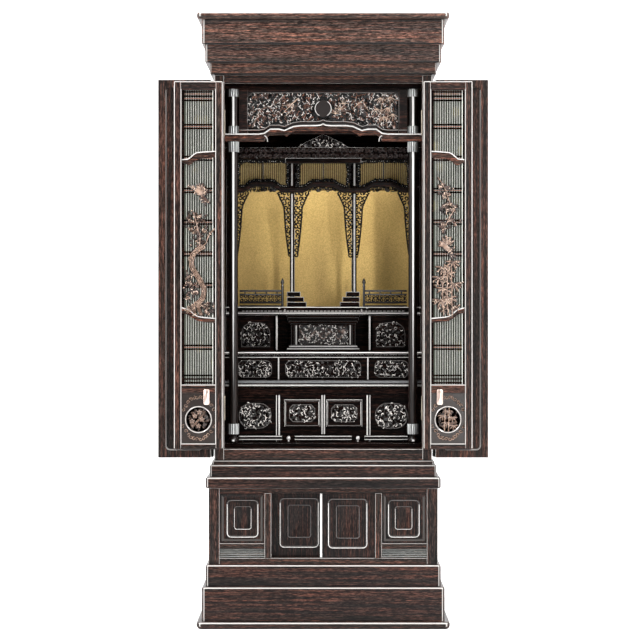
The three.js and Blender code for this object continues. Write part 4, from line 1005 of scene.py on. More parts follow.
    # strokes of painted tan highlight along the carved birds, bamboo stems and leaf fans
    figures = Form()
    front = ys[0] + 1.4 * MM
    strokes = [[(-58, 26), (-66, 18), (-78, 6), (-92, -8)], [(-62, 20), (-76, 12), (-92, 10)],
               [(-66, 14), (-72, -2), (-86, -14)],
               [(-58, 26), (-52, 22)], [(88, 22), (76, 12), (66, 2)], [(90, 18), (98, 4), (104, -4)]]
    for lean, x in ((6, 126), (12, 141)):
        strokes += [[(x, -26), (x + lean * 0.4, -8)], [(x + lean * 0.5, -5), (x + lean * 0.9, 14)]]
    for x, z in ((128, 28), (150, 30), (144, 6), (120, 4), (156, -8), (136, -14)):
        strokes += [[(x, z), (x + 15 * math.cos(a), z + 15 * math.sin(a))]
                    for a in (-2.6, -2.1, -1.6, -1.0, -0.5)]
    for x, z in ((38, 2), (46, 14), (28, -8)):
        strokes += [[(x, z), (x + 12 * math.cos(a), z + 12 * math.sin(a))] for a in (0.2, 0.8, 1.5, 2.2, 2.9)]
    for stroke in strokes:
        count = len(stroke)
        figures.rod([(x * MM, front, middle + z * MM) for x, z in stroke],
                    [0.75 * MM] + [0.8 * MM] * (count - 2) + [0.35 * MM], 5)
    figures.make("transom_figures", GLINT_TAN, slot="carving", smooth_angle=ROUND)


def scroll_strip(form, xs, zs, front_y, depth, seed, pitch, tall=1):
    """A flat strip of pierced scroll carving."""
    strip = Carving(xs, zs, COARSE)
    luck = random.Random(seed)
    count = max(1, round((xs[1] - xs[0]) / pitch))
    for row in range(tall):
        z = zs[0] + (row + 0.5) * (zs[1] - zs[0]) / tall
        for i in range(count):
            x = xs[0] + (i + 0.5) * (xs[1] - xs[0]) / count
            way = 1 if (i + row) % 2 else -1
            size = min((zs[1] - zs[0]) / tall, pitch) * 0.48
            strip.curl(x, z, size, luck.uniform(0, 6.28), way, size * 0.3, 0.95, 1.1)
            strip.leaf(x, z, size * 1.6, size * 0.8, luck.uniform(0, 6.28), 0.8)
    strip.openwork(form, front_y, depth)


def loop(form, x, y, z, radius, start, way, thick, turns=1.25):
    """A small round scroll, as a bent rod."""
    points, last = [], 9
    for i in range(last + 1):
        t = start + way * 2 * math.pi * turns * i / last
        r = radius * (1 - 0.62 * i / last)
        points.append((x + r * math.cos(t), y, z + r * math.sin(t)))
    form.rod(points, thick, 5)


def painted_light_marks(form, xs, zs, y, seed, pitch, keep=None, thick=0.6 * MM, share=0.5):
    """Short bent rods on the leaves and curls of a carving: painted highlight in a light material, painted
    shade in a dark one.
    """
    luck = random.Random(seed)
    nx = max(1, round((xs[1] - xs[0]) / pitch))
    nz = max(1, round((zs[1] - zs[0]) / pitch))
    for i in range(nx):
        for j in range(nz):
            x = xs[0] + (i + luck.uniform(0.2, 0.8)) * (xs[1] - xs[0]) / nx
            z = zs[0] + (j + luck.uniform(0.2, 0.8)) * (zs[1] - zs[0]) / nz
            if luck.random() > share or (keep and not keep(x, z)):
                continue
            radius = luck.uniform(0.35, 0.75) * pitch
            start, sweep = luck.uniform(0, 2 * math.pi), luck.choice((-1, 1)) * luck.uniform(1.4, 3.6)
            points = [(x + radius * math.cos(start + sweep * k / 5) * (1 - 0.06 * k), y,
                       z + radius * math.sin(start + sweep * k / 5))
                      for k in range(6)]
            size = luck.uniform(0.6, 1.25) * thick
            form.rod(points, [size * 0.4, size, size, size, size * 0.8, size * 0.3], 4)


def gable():
    xs, ys, zs = span("gable_ornament")
    back = Form()
    band = (zs[0] + 10 * MM, zs[0] + 36 * MM)
    back.box(xs, (ys[1] - 8 * MM, ys[1]), band)
    back.box((-86 * MM, 86 * MM), (ys[0], ys[1]), (zs[0], zs[0] + 11 * MM))
    back.plate([(-58 * MM, band[1]), (58 * MM, band[1]), (40 * MM, band[1] + 12 * MM), (0, band[1] + 30 * MM),
                (-40 * MM, band[1] + 12 * MM)],
               ys[1] - 8 * MM, ys[1])
    back.make("gable_board", WOOD_DARK, bevel=0.8 * MM, replaces=["gable_ornament"])
    carved = Form()
    front = ys[1] - 12 * MM
    scroll_strip(carved, (-192 * MM, 192 * MM), band, front, 4 * MM, 3, 11 * MM, tall=2)
    peak = Carving((-56 * MM, 56 * MM), (band[1], band[1] + 27 * MM), COARSE)
    peak.foliage(21, 9 * MM, 0.6, 1.0)
    roof = peak.z - band[1] < 27 * MM * (1 - np.abs(peak.x) / (60 * MM))
    peak.h = np.where(roof, peak.h, 0)
    peak.openwork(carved, front, 4 * MM)
    # the gable's carving is darker, as painted shade
    carved.make("gable_relief", CARVED_IN_SHADE, slot="carving")
    # marks of painted highlight on the carved peak
    glints = Form()
    painted_light_marks(glints, (-52 * MM, 52 * MM), (band[1] + 1 * MM, band[1] + 24 * MM), front - 0.5 * MM, 9,
                5.5 * MM, keep=lambda x, z: z - band[1] < 25 * MM * (1 - abs(x) / (58 * MM)))
    glints.make("gable_glints", GLINT, slot="carving", smooth_angle=ROUND)


# The altar

def bay_places():
    """The inner pillars' distance from the middle, and the middles of the three bays."""
    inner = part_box("inner_pillar_right")
    axis = (inner[0][0] + inner[1][0]) / 2
    side = (INNER_HALF - 24 * MM + axis) / 2 + 3 * MM
    return axis, [-side, 0.0, side]


def arch_drop(x, half, step):
    """How far the arch's underside lies below its flat top, at a distance x from the bay's middle."""
    a = np.abs(x) / half
    return step * np.clip((a - 0.36) / 0.4, 0, 1) ** 2 * (3 - 2 * np.clip((a - 0.36) / 0.4, 0, 1))


def canopy():
    xs, ys, zs = span("altar_canopy")
    axis, bays = bay_places()
    front = ys[0]
    inner_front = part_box("inner_pillar_left")[0][1]
    beam_low, screen_top = zs[0] + CANOPY_BEAM, zs[1]
    half = axis - 6 * MM
    back, ribs, carved, arch, scrolls, specks = (Form() for _ in range(6))
    back.box(xs, (ys[1] - 2 * MM, ys[1]), (beam_low + 12 * MM, screen_top))
    back.box(xs, (front, ys[1]), (screen_top - 8 * MM, screen_top))
    for bay in bays:
        window = (bay - half + 5 * MM, bay + half - 5 * MM)
        count = 28
        for i in range(count):
            x = window[0] + (i + 0.5) * (window[1] - window[0]) / count
            ribs.upright(x, front + 6 * MM, (beam_low + 14 * MM, screen_top - 10 * MM), 1.5 * MM)
        border = Carving((window[0] - 4 * MM, window[1] + 4 * MM), (beam_low + 8 * MM, screen_top - 6 * MM),
                         COARSE)
        border.foliage(31 + round(bay * 1000), 8.5 * MM, 0.6, 1.0)
        u, v = border.x - bay, border.z
        low_edge = beam_low + 36 * MM - arch_drop(u, half, 18 * MM)
        inner = (np.abs(u) < half - 11 * MM) & (v > low_edge) & (v < screen_top - 17 * MM)
        past_x, past_z = np.abs(u) - (half - 20 * MM), v - (screen_top - 26 * MM)
        inner &= ~((past_x > 0) & (past_z > 0) & (past_x + past_z > 9 * MM))
        border.h = np.where(inner, 0, border.h)
        border.openwork(carved, front, 4 * MM)
        back.box((bay - 1.5 * MM, bay + 1.5 * MM), (front + 1 * MM, front + 5 * MM),
                 (beam_low + 32 * MM, screen_top - 12 * MM))
        # arched cross beam, flat at both ends
        line = np.linspace(-half - 7 * MM, half + 7 * MM, 49)
        raised = np.clip((49 * MM - np.abs(line)) / (30 * MM), 0, 1)
        top = beam_low + (17 + 14 * raised * raised * (3 - 2 * raised)) * MM
        low = top - 11 * MM
        nose = inner_front - 0.8 * MM
        rings = [[(bay + x, nose, b), (bay + x, ys[1], b), (bay + x, ys[1], t), (bay + x, nose, t)]
                 for x, t, b in zip(line, top, low)]
        arch.loft(rings)
        # scrolls of the pierced border round the ribbed screen, some with a speck of painted highlight
        luck = random.Random(91 + round(bay * 1000))
        edge_low = beam_low + 30 * MM
        upwards = np.arange(edge_low, screen_top - 12 * MM, 5 * MM)
        sideways = np.arange(-half + 12 * MM, half - 10 * MM, 5 * MM)
        border_line = [(-half + 9 * MM, z) for z in upwards]
        border_line += [(x, screen_top - 13 * MM) for x in sideways]
        border_line += [(half - 9 * MM, z) for z in upwards]
        border_line += [(x, np.interp(x, line, top) + 4 * MM) for x in sideways]
        for x, z in border_line:
            x, z = bay + x + luck.uniform(-1, 1) * MM, z + luck.uniform(-1, 1) * MM
            loop(scrolls, x, front + 1 * MM, z, 3.6 * MM, luck.uniform(0, 6.28), luck.choice((-1, 1)),
                 1.5 * MM)
            if luck.random() < 0.6:
                specks.rod([(x - 1.4 * MM, front - 0.6 * MM, z),
                            (x + luck.uniform(0.4, 1.6) * MM, front - 0.6 * MM,
                             z + luck.uniform(-1.6, 1.6) * MM)], 0.55 * MM, 4)
        # pierced brackets on both sides of the bay, some scrolls with a speck of painted highlight
        for side in (-1, 1):
            luck = random.Random(71 + round(bay * 1000) + side)
            edge = []
            count = 14
            for k in range(count):
                share = k / (count - 1)
                z = beam_low + 6 * MM - 144 * MM * share
                wide = (20 + 15 * max(0, 1 - share / 0.25) ** 1.2 - 11 * share ** 2) * MM
                edge.append((bay + side * (half + 2 * MM - wide), front - 0.6 * MM, z))
                columns = max(1, round(wide / (11 * MM)))
                for j in range(columns):
                    x = bay + side * (half + 1 * MM - wide * (j + 0.5) / columns)
                    loop(scrolls, x, front + 0.5 * MM, z - 2 * MM, 5.2 * MM, luck.uniform(0, 6.28),
                         luck.choice((-1, 1)), 1.9 * MM, 0.95)
                    if luck.random() < 0.3:
                        specks.rod([(x - 1 * MM, front - 1.2 * MM, z),
                                    (x + 1.4 * MM, front - 1.2 * MM, z + 1 * MM)], 0.5 * MM, 4)
            for x, y, z in edge:
                scrolls.rod([(x - 1.4 * MM, y, z), (x + 1.4 * MM, y, z - 3 * MM)], 1.3 * MM, 5)
            scrolls.rod(edge, 1.9 * MM, 6)
            back.box((bay + side * (half + 1 * MM), bay + side * (half + 4 * MM)),
                     (front - 2 * MM, front + 2 * MM), (PLATFORM_Z, beam_low + 10 * MM))
    for side in (-1, 1):
        back.box((side * 211 * MM, side * INNER_HALF), (front + 1 * MM, front + 5 * MM),
                 (PLATFORM_Z, beam_low + 20 * MM))
    back.make("canopy_boards", WOOD_DARK, bevel=0.5 * MM, replaces=["altar_canopy"])
    scrolls.make("canopy_brackets", SCROLL_WOOD_AND_SHADE, slot="carving", smooth_angle=ROUND)
    specks.make("canopy_specks", GLINT, slot="carving", smooth_angle=ROUND)
    ribs.make("canopy_ribs", GOLD_RIBS, slot="gold")
    carved.make("canopy_relief", CARVED, slot="carving")
    arch.make("canopy_arches", WOOD_PLAIN, bevel=2.4 * MM)


def gilt_back():
    xs, ys, zs = span("altar_back_panel")
    gilt_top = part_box("altar_canopy")[1][2] - 4 * MM
    panel, strips, dark = Form(), Form(), Form()
    panel.box(xs, (ys[1] - 8 * MM, ys[1]), (zs[0], gilt_top))
    panel.make("gilt_panel", GOLD, slot="gold", replaces=["altar_back_panel"])
    dark.box(xs, (ys[1] - 8 * MM, ys[1]), (gilt_top, zs[1]))
    dark.make("upper_back_board", WOOD_DARK)
    axis, _ = bay_places()
    for side in (-1, 1):
        strips.box((side * (axis - 4 * MM), side * (axis + 4 * MM)), (ys[0], ys[1] - 8 * MM),
                   (zs[0], gilt_top))
    strips.make("back_strips", WOOD_DARK, bevel=0.8 * MM)


# Painted highlight marks of all carved fields, gathered by carved_field and made with the altar table
GLINTS = Form()


def carved_field(carved, xs, zs, y, seed, corner, cut=False, rim_form=None, extra=None, arch=False):
    """A carved panel and its rim, with round or cut corners or an arched top. extra carves more on it."""
    field = Carving(xs, zs, 0.8 * MM)
    field.foliage(seed, 8 * MM, 0.6, 1.0)
    if extra:
        extra(field)
    test = inside_box(xs, (zs[0] - 1, zs[1]), corner) if arch else inside_box(xs, zs, corner, cut)
    keep = test(field.x, field.z) > 0
    h = np.where(keep, field.h, 0)
    painted_light_marks(GLINTS, xs, zs, y + 0.3 * MM, seed, 5.8 * MM, keep=lambda x,
                z: test(np.array(x), np.array(z)) > 3 * MM)
    cells = keep[:-1, :-1] & keep[:-1, 1:] & keep[1:, 1:] & keep[1:, :-1]
    carved.sheet(field.x, y + 3.6 * MM * (1 - np.clip(h, 0, 1)), field.z, keep=cells, shade=np.clip(h, 0, 1))
    if rim_form is None:
        return
    r = corner
    if cut:
        points = [(xs[0] + r, zs[0]), (xs[1] - r, zs[0]), (xs[1], zs[0] + r), (xs[1], zs[1] - r),
                  (xs[1] - r, zs[1]), (xs[0] + r, zs[1]), (xs[0], zs[1] - r), (xs[0], zs[0] + r),
                  (xs[0] + r, zs[0])]
    elif arch:
        turn = np.linspace(0, math.pi / 2, 8)
        points = ([(xs[0], zs[0])] + [(xs[0] + r - r * math.cos(t), zs[1] - r + r * math.sin(t))
                                      for t in turn]
                  + [(xs[1] - r + r * math.sin(t), zs[1] - r + r * math.cos(t)) for t in turn]
                  + [(xs[1], zs[0]), (xs[0], zs[0])])
    else:
        ring = rounded_ring(xs, zs, r, y, 6)
        points = [(x, z) for x, _, z in ring + ring[:1]]
    rim_form.rod([(x, y + 0.6 * MM, z) for x, z in points], 0.9 * MM, 6)


def tiers():
    boards, carved, rims, bars, shelves = Form(), Form(), Form(), Form(), Form()
    xs, ys, zs = span("lower_tier")
    front = ys[0] + 9 * MM
    shelf = zs[1] - 30 * MM
    face_top = zs[1] - 38 * MM
    boards.box(xs, (front, front + 8 * MM), (zs[0], shelf + 2 * MM))
    boards.box(xs, (front - 3 * MM, ys[1]), (shelf - 2 * MM, zs[1] - 13 * MM))
    boards.box(xs, (front - 6 * MM, ys[1]), (zs[1] - 13 * MM, zs[1] - 9 * MM))
    shelves.box(xs, (ys[0], ys[1]), (zs[1] - 9 * MM, zs[1]))
    face_low = zs[0] + 24 * MM
    for side in (-1, 1):
        field_x = mirrored(side, 118, 190)
        carved_field(carved, field_x, (face_low + 7 * MM, face_top - 14 * MM), front - 3 * MM, 41 + side,
                     26 * MM, rim_form=rims)
        door_x = mirrored(side, 7, 88)
        door_z = (face_low + 10 * MM, face_top - 5 * MM)
        boards.box(door_x, (front - 4 * MM, front), door_z)
        frame_x, frame_z = inset(door_x, door_z, 3 * MM)
        corners = ((0, 0), (1, 0), (1, 1), (0, 1), (0, 0))
        rims.rod([(frame_x[i], front - 4.5 * MM, frame_z[j]) for i, j in corners], 1.2 * MM, 6)
        for x in frame_x:
            bars.upright(x, front - 4.8 * MM, (door_z[0] + 5 * MM, door_z[1] - 5 * MM), 0.9 * MM, 6)
        field_x, field_z = inset(door_x, door_z, 12 * MM)
        carved_field(carved, field_x, field_z, front - 7 * MM, 51 + side, 8 * MM, True, rims)
        for x, half in ((99.5, 1.6), (105.6, 0.9)):
            bars.box(((side * x - half) * MM, (side * x + half) * MM), (front - 5 * MM, front + 1 * MM),
                     (zs[0], shelf - 3 * MM))
    for x in (-2.6, 2.6):
        bars.upright(x * MM, front - 4 * MM, (zs[0] + 18 * MM, shelf - 3 * MM), 1.5 * MM)

    xs, ys, zs = span("middle_tier")
    front = ys[0] + 5 * MM
    boards.box(xs, (front, front + 8 * MM), (zs[0], zs[1] - 12 * MM))
    boards.box(xs, (ys[0] + 3 * MM, ys[1]), (zs[1] - 13 * MM, zs[1] - 5 * MM))
    shelves.box(xs, (ys[0], ys[1]), (zs[1] - 5 * MM, zs[1]))
    bars.box(xs, (ys[0] + 1 * MM, ys[0] + 8 * MM), (zs[1] - 13 * MM, zs[1] - 11.6 * MM))
    low, high = zs[0] + 5 * MM, zs[1] - 20 * MM
    carved_field(carved, (-86 * MM, 86 * MM), (low, high), front - 2 * MM, 61, 13 * MM, rim_form=rims)
    for side in (-1, 1):
        field_x = mirrored(side, 118, 195)
        carved_field(carved, field_x, (low, high), front - 2 * MM, 62 + side, 13 * MM, rim_form=rims)
        bars.box((side * 102 * MM - 1.5 * MM, side * 102 * MM + 1.5 * MM), (front - 4 * MM, front + 1 * MM),
                 (zs[0], zs[1] - 13 * MM))
    strip_front = ys[0] + 3 * MM
    scroll_strip(carved, (-195 * MM, 195 * MM), (zs[1] - 11 * MM, zs[1] - 4.5 * MM), strip_front - 0.5 * MM,
                 2 * MM, 5, 7 * MM)

    xs, ys, zs = span("upper_tier")
    front = ys[0] + 4 * MM
    recess = 108 * MM
    for side in (-1, 1):
        boards.box((side * recess, side * xs[1]), (front, front + 8 * MM), zs)
        boards.box((side * recess, side * (recess + 8 * MM)), (front, ys[1]), zs)
        field_x = mirrored(side, 124, 190)
        carved_field(carved, field_x, (zs[0] + 10 * MM, zs[1] - 18 * MM), front - 2 * MM, 66 + side, 26 * MM,
                     rim_form=rims, arch=True)
        bars.box((side * 106 * MM, side * 110 * MM), (front - 3 * MM, front + 1 * MM),
                 (zs[0] + 3 * MM, zs[1] - 3 * MM))
    boards.box((-recess, recess), (ys[1] - 8 * MM, ys[1]), zs)
    boards.make("tier_boards", WOOD_DARK, bevel=0.9 * MM,
                replaces=["lower_tier", "middle_tier", "upper_tier"])
    carved.make("tier_relief", CARVED, slot="carving")
    # rims of the carved fields, drawn in dim painted highlight
    rims.make("tier_rims", DIM_HIGHLIGHT)
    # the lower shelf's nosing, its grey standing for a painted reflection
    nosing = Form()
    xs, ys, zs = span("lower_tier")
    nosing.box(xs, (ys[0] - 0.3 * MM, ys[0] + 6 * MM), (zs[1] - 6.6 * MM, zs[1] - 0.4 * MM))
    nosing.make("shelf_nosing", NOSING_REFLECTION, bevel=1.6 * MM)
    bars.across(xs, ys[0] + 0.4 * MM, zs[1] - 10.6 * MM, 1.2 * MM)
    shelves.make("tier_shelves", WOOD_DARK, bevel=3.2 * MM)
    low_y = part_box("inner_floor")[0][1] + 25 * MM
    for x0, x1 in ((-190, -93), (-64, 64), (93, 190)):
        for z, r in ((417.4, 1.05), (410.4, 0.95)):
            bars.across((x0 * MM, x1 * MM), low_y, z * MM, r * MM)
    for side in (-1, 1):
        bars.turned([(0, 0.4055), (2 * MM, 0.4055), (2 * MM, 0.409), (4 * MM, 0.411), (4.4 * MM, 0.414),
                     (3 * MM, 0.4175), (0, 0.4185)],
                    side * 78 * MM, low_y, 16)
    # everything in bars takes the painted highlight colour: door frames' sides, posts, dividers, knobs, the
    # rod under the shelf and the low rails, whose two rods stand for the highlights on one rail's top and
    # bottom
    bars.make("tier_bars", BRIGHT_HIGHLIGHT, bevel=0.4 * MM)


def altar_table():
    xs, ys, zs = span("altar_table")
    form, carved = Form(), Form()
    half = xs[1]
    for z0, z1, by in ((0, 5, 0), (6.5, 11, 5), (12, 14, 9), (60, 64, 9), (65, 70, 5), (71, 78, 2),
                       (79, 84, 0)):
        form.box((-half + by * MM, half - by * MM), (ys[0] + by * MM, ys[1]),
                 (zs[0] + z0 * MM, zs[0] + z1 * MM))
    form.box((-half + 10 * MM, half - 10 * MM), (ys[0] + 14 * MM, ys[1]), (zs[0] + 4 * MM, zs[0] + 82 * MM))
    for side in (-1, 1):
        form.box((side * 60 * MM, side * 68 * MM), (ys[0] + 10 * MM, ys[0] + 18 * MM),
                 (zs[0] + 13 * MM, zs[0] + 61 * MM))
    form.make("altar_table_body", WOOD_TABLE, bevel=1.2 * MM, replaces=["altar_table"])
    # rods of painted highlight along the two lower step edges and up both sides of the carved field
    bright = Form()
    for z, by in ((5, 0), (10.5, 5)):
        reach = half - (by + 1) * MM
        bright.across((-reach, reach), ys[0] + (by + 0.5) * MM, zs[0] + z * MM, 1.5 * MM)
    for side in (-1, 1):
        bright.upright(side * 63 * MM, ys[0] + 9.5 * MM, (zs[0] + 15 * MM, zs[0] + 60 * MM), 1.5 * MM)
    bright.make("altar_table_highlight_lines", BRIGHT_HIGHLIGHT)

    def dragon(field):
        low = zs[0] + 16 * MM
        wave = [(-52, 30), (-36, 10), (-18, 30), (0, 12), (18, 30), (36, 12), (52, 28)]
        field.branch([(x * MM, low + z * MM) for x, z in wave], 3.2 * MM, 0.9, 0.7)
        field.oval(46 * MM, low + 30 * MM, 8 * MM, 6 * MM, 0.4, 1.0)
    carved_field(carved, (-57 * MM, 57 * MM), (zs[0] + 15 * MM, zs[0] + 60 * MM), ys[0] + 9 * MM, 81, 2 * MM,
                 True, extra=dragon)
    carved.make("altar_table_relief", TRANSOM_WOOD, slot="carving")
    GLINTS.make("tier_glints", GLINT, slot="carving", smooth_angle=ROUND)


def platform_trim():
    _, ys, zs = span("altar_platform")
    form = Form()
    highlight_beads = 44
    for i in range(highlight_beads):
        x = -190 * MM + 380 * MM * (i + 0.5) / highlight_beads
        form.across((x - 3 * MM, x + 3 * MM), ys[0] + 5.5 * MM, zs[0] + 9 * MM, 1.2 * MM, 6)
    for side in (-1, 1):
        x = side * 89 * MM
        form.box((x - 1.5 * MM, x + 1.5 * MM), (ys[0] + 2 * MM, ys[0] + 9 * MM),
                 (zs[0] + 5 * MM, zs[1] - 5 * MM))
    # the row of short beads and the two posts take a light colour as a painted highlight
    form.make("platform_beads", ARRIS)


def railings():
    for side, word in ((-1, "left"), (1, "right")):
        xs, ys, zs = span(f"railing_{word}")
        form, carved = Form(), Form()
        y = (ys[0] + ys[1]) / 2
        near = xs[1] if side < 0 else xs[0]
        far = xs[0] if side < 0 else xs[1]
        post = near + side * 3 * MM
        for height, radius, sides in ((37, 2.4, 10), (29, 1.8, 8), (10, 2.4, 8), (2, 2.2, 8)):
            form.across((far, post), y, zs[0] + height * MM, radius * MM, sides)
        for k in range(4):
            x = far + (post - far) * (k + 0.5) / 4
            form.box((x - 1.6 * MM, x + 1.6 * MM), (y - 1.6 * MM, y + 1.6 * MM),
                     (zs[0] + 28 * MM, zs[0] + 38 * MM))
        luck = random.Random(91 + side)
        for k in range(11):
            for z in (15, 24):
                x = far + (post - far) * (k + 0.5) / 11
                loop(carved, x, y, zs[0] + z * MM, 4.3 * MM, luck.uniform(0, 6.28), (-1) ** (k + z), 1.2 * MM)
        form.turned([(0, zs[0]), (3 * MM, zs[0]), (3 * MM, zs[0] + 46 * MM), (4 * MM, zs[0] + 48 * MM),
                     (2.2 * MM, zs[0] + 51 * MM),
                     (4.6 * MM, zs[0] + 57 * MM), (3 * MM, zs[0] + 62 * MM), (0, zs[0] + 68 * MM)], post, y,
                    20)
        form.make(f"railing_rods_{word}", BAR_WOOD, replaces=[f"railing_{word}"])
        carved.make(f"railing_scrolls_{word}", SCROLL_WOOD_AND_SHADE, slot="carving", smooth_angle=ROUND)
    corner_forms = Form()
    axis, _ = bay_places()
    pillar_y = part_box("inner_pillar_left")[0][1]
    for side in (-1, 1):
        base_z = PLATFORM_Z
        steps = ((0, 12, 26), (12, 24, 20), (24, 36, 12))
        for z0, z1, reach in steps:
            corner_forms.box((side * (axis - 8 * MM - reach * MM), side * (axis + 12 * MM)),
                             (pillar_y - 6 * MM, pillar_y - 2 * MM),
                             (base_z + z0 * MM, base_z + (z1 - 1) * MM))
    corner_forms.make("altar_corner_pieces", WOOD_DARK, bevel=1.2 * MM)


# Screens: lattice, gauze and carving on each leaf. u runs over the opening from the leaf's middle, -1 at its
# turning edge and 1 at its free edge, and h is the height in millimetres above the leaf's bottom edge.

def bird_and_pine(at, carve, way):
    carve.bird(*at(0.1, 566), 50 * MM, -way)
    carve.fan(*at(0.0, 566), 24 * MM, 7 * MM, 5, 1.1 if way > 0 else 2.0, 1.3, 1.0)
    carve.cluster(*at(-0.15, 512), 20 * MM, 12 * MM, 3, 7 * MM)
    carve.cluster(*at(-0.35, 486), 13 * MM, 10 * MM, 4, 7 * MM)
    carve.cluster(*at(0.15, 480), 18 * MM, 10 * MM, 5, 7 * MM)
    carve.cluster(*at(-0.05, 455), 14 * MM, 14 * MM, 6, 7 * MM)
    carve.branch([at(0.98, 487), at(0.6, 470), at(0.4, 452), at(-0.3, 436)], 2.0 * MM, 0.95)
    carve.branch([at(-0.3, 522), at(-0.1, 496), at(0.1, 466), at(0.0, 440)], 1.8 * MM, 0.9)
    carve.trunk([at(0.25, 448), at(-0.3, 430), at(-0.4, 404), at(0.0, 378), at(0.3, 356), at(0.25, 334),
                 at(-0.2, 318), at(-0.75, 304)], 7 * MM)
    carve.trunk([at(0.1, 326), at(0.0, 312), at(0.2, 296)], 4.5 * MM)
    carve.cluster(*at(-0.45, 352), 15 * MM, 26 * MM, 7, 7.5 * MM)
    carve.cluster(*at(-0.5, 384), 10 * MM, 10 * MM, 8, 7 * MM)
    carve.cluster(*at(0.55, 312), 17 * MM, 17 * MM, 9, 7.5 * MM)
    carve.cluster(*at(0.1, 300), 24 * MM, 7 * MM, 10, 7 * MM)


def blossom_and_bamboo(at, carve, way):
    carve.branch([at(0.6, 600), at(0.2, 576), at(-0.1, 545), at(-0.5, 520)], 1.4 * MM, 0.95)
    carve.branch([at(-0.4, 530), at(0.0, 505), at(0.35, 478)], 1.8 * MM, 0.9)
    carve.cluster(*at(0.15, 570), 17 * MM, 17 * MM, 13, 8 * MM, blossoms=0.5)
    carve.cluster(*at(-0.1, 532), 20 * MM, 16 * MM, 14, 8 * MM, blossoms=0.5)
    carve.cluster(*at(-0.3, 500), 14 * MM, 12 * MM, 15, 8 * MM, blossoms=0.5)
    carve.cluster(*at(0.3, 490), 10 * MM, 12 * MM, 16, 8 * MM, blossoms=0.5)
    carve.bird(*at(0.0, 442), 44 * MM, way)
    carve.fan(*at(0.05, 450), 24 * MM, 8 * MM, 6, 1.9, 2.6, 1.0)
    for u in (-0.25, 0.0, 0.25):
        carve.branch([at(u, 296), at(u * 1.1 + 0.05, 350), at(u * 0.8, 408)], 1.9 * MM, 0.9, 0.9)
    for u, h in ((-0.3, 414), (0.3, 402), (-0.4, 366), (0.25, 356), (0.5, 380), (-0.1, 336), (0.45, 330),
                 (0.0, 390)):
        carve.fan(*at(u, h), 22 * MM, 5.5 * MM, 6, -1.57, 3.2, 1.0)
    carve.cluster(*at(-0.1, 312), 22 * MM, 12 * MM, 17, 7 * MM)


def pine_alone(at, carve, way):
    carve.trunk([at(0.6, 296), at(-0.2, 352), at(0.35, 410), at(-0.3, 470), at(0.2, 530)], 5 * MM)
    for i, (u, h) in enumerate(((0.45, 418), (-0.5, 470), (0.35, 530), (-0.4, 360), (0.5, 330), (-0.3, 560))):
        carve.cluster(*at(u, h), 17 * MM, 11 * MM, 20 + i, 7.5 * MM)


def blossom_alone(at, carve, way):
    carve.trunk([at(-0.6, 296), at(0.2, 360), at(-0.3, 430), at(0.4, 500), at(-0.1, 575)], 4 * MM)
    for i, (u, h) in enumerate(((-0.45, 330), (0.4, 366), (-0.5, 412), (0.6, 486), (-0.2, 530), (0.3, 566))):
        carve.cluster(*at(u, h), 16 * MM, 11 * MM, 30 + i, 8 * MM, blossoms=0.6)


def medallion(carve, x, z, kind, radius):
    carve.cluster(x, z, radius * 0.85, radius * 0.85, 41 if kind == "bamboo" else 42, 6.5 * MM, 0.5, 0.9)
    if kind == "bamboo":
        for dx in (-6, 3):
            carve.branch([((x + (dx - 2) * MM), z - radius), (x + dx * MM, z + radius)], 1.6 * MM, 1.0, 0.9)
        for dx, dz in ((0, 20), (-12, 10), (10, 6), (-4, -6), (12, -12)):
            carve.fan(x + dx * MM, z + dz * MM, 14 * MM, 4.5 * MM, 5, -1.57, 2.8, 1.0)
    else:
        carve.trunk([(x - 14 * MM, z - 16 * MM), (x - 2 * MM, z - 4 * MM), (x + 12 * MM, z + 14 * MM)],
                    3 * MM)
        for dx, dz in ((-8, 8), (8, 0), (2, 16), (0, -14), (-14, -4)):
            carve.blossom(x + dx * MM, z + dz * MM, 6.5 * MM, 1.0)
    away = np.hypot(carve.x - x, carve.z - z)
    carve.h = np.where((away > radius) & (away < radius + 4 * MM), 0.3, carve.h)


UPPER_WAVE = [(-1, 639.3, 633.4), (-0.62, 640.8, 627.2), (-0.5, 644, 627.4), (-0.18, 653.2, 636),
              (0.15, 655.8, 641), (1, 657.8, 643.9)]
LOWER_WAVE = [(-1, 312.8, 300.6), (-0.7, 309.7, 298.5), (-0.6, 309.2, 296), (-0.17, 296.5, 285.8),
              (0.15, 292.3, 281.8), (1, 289.2, 279)]


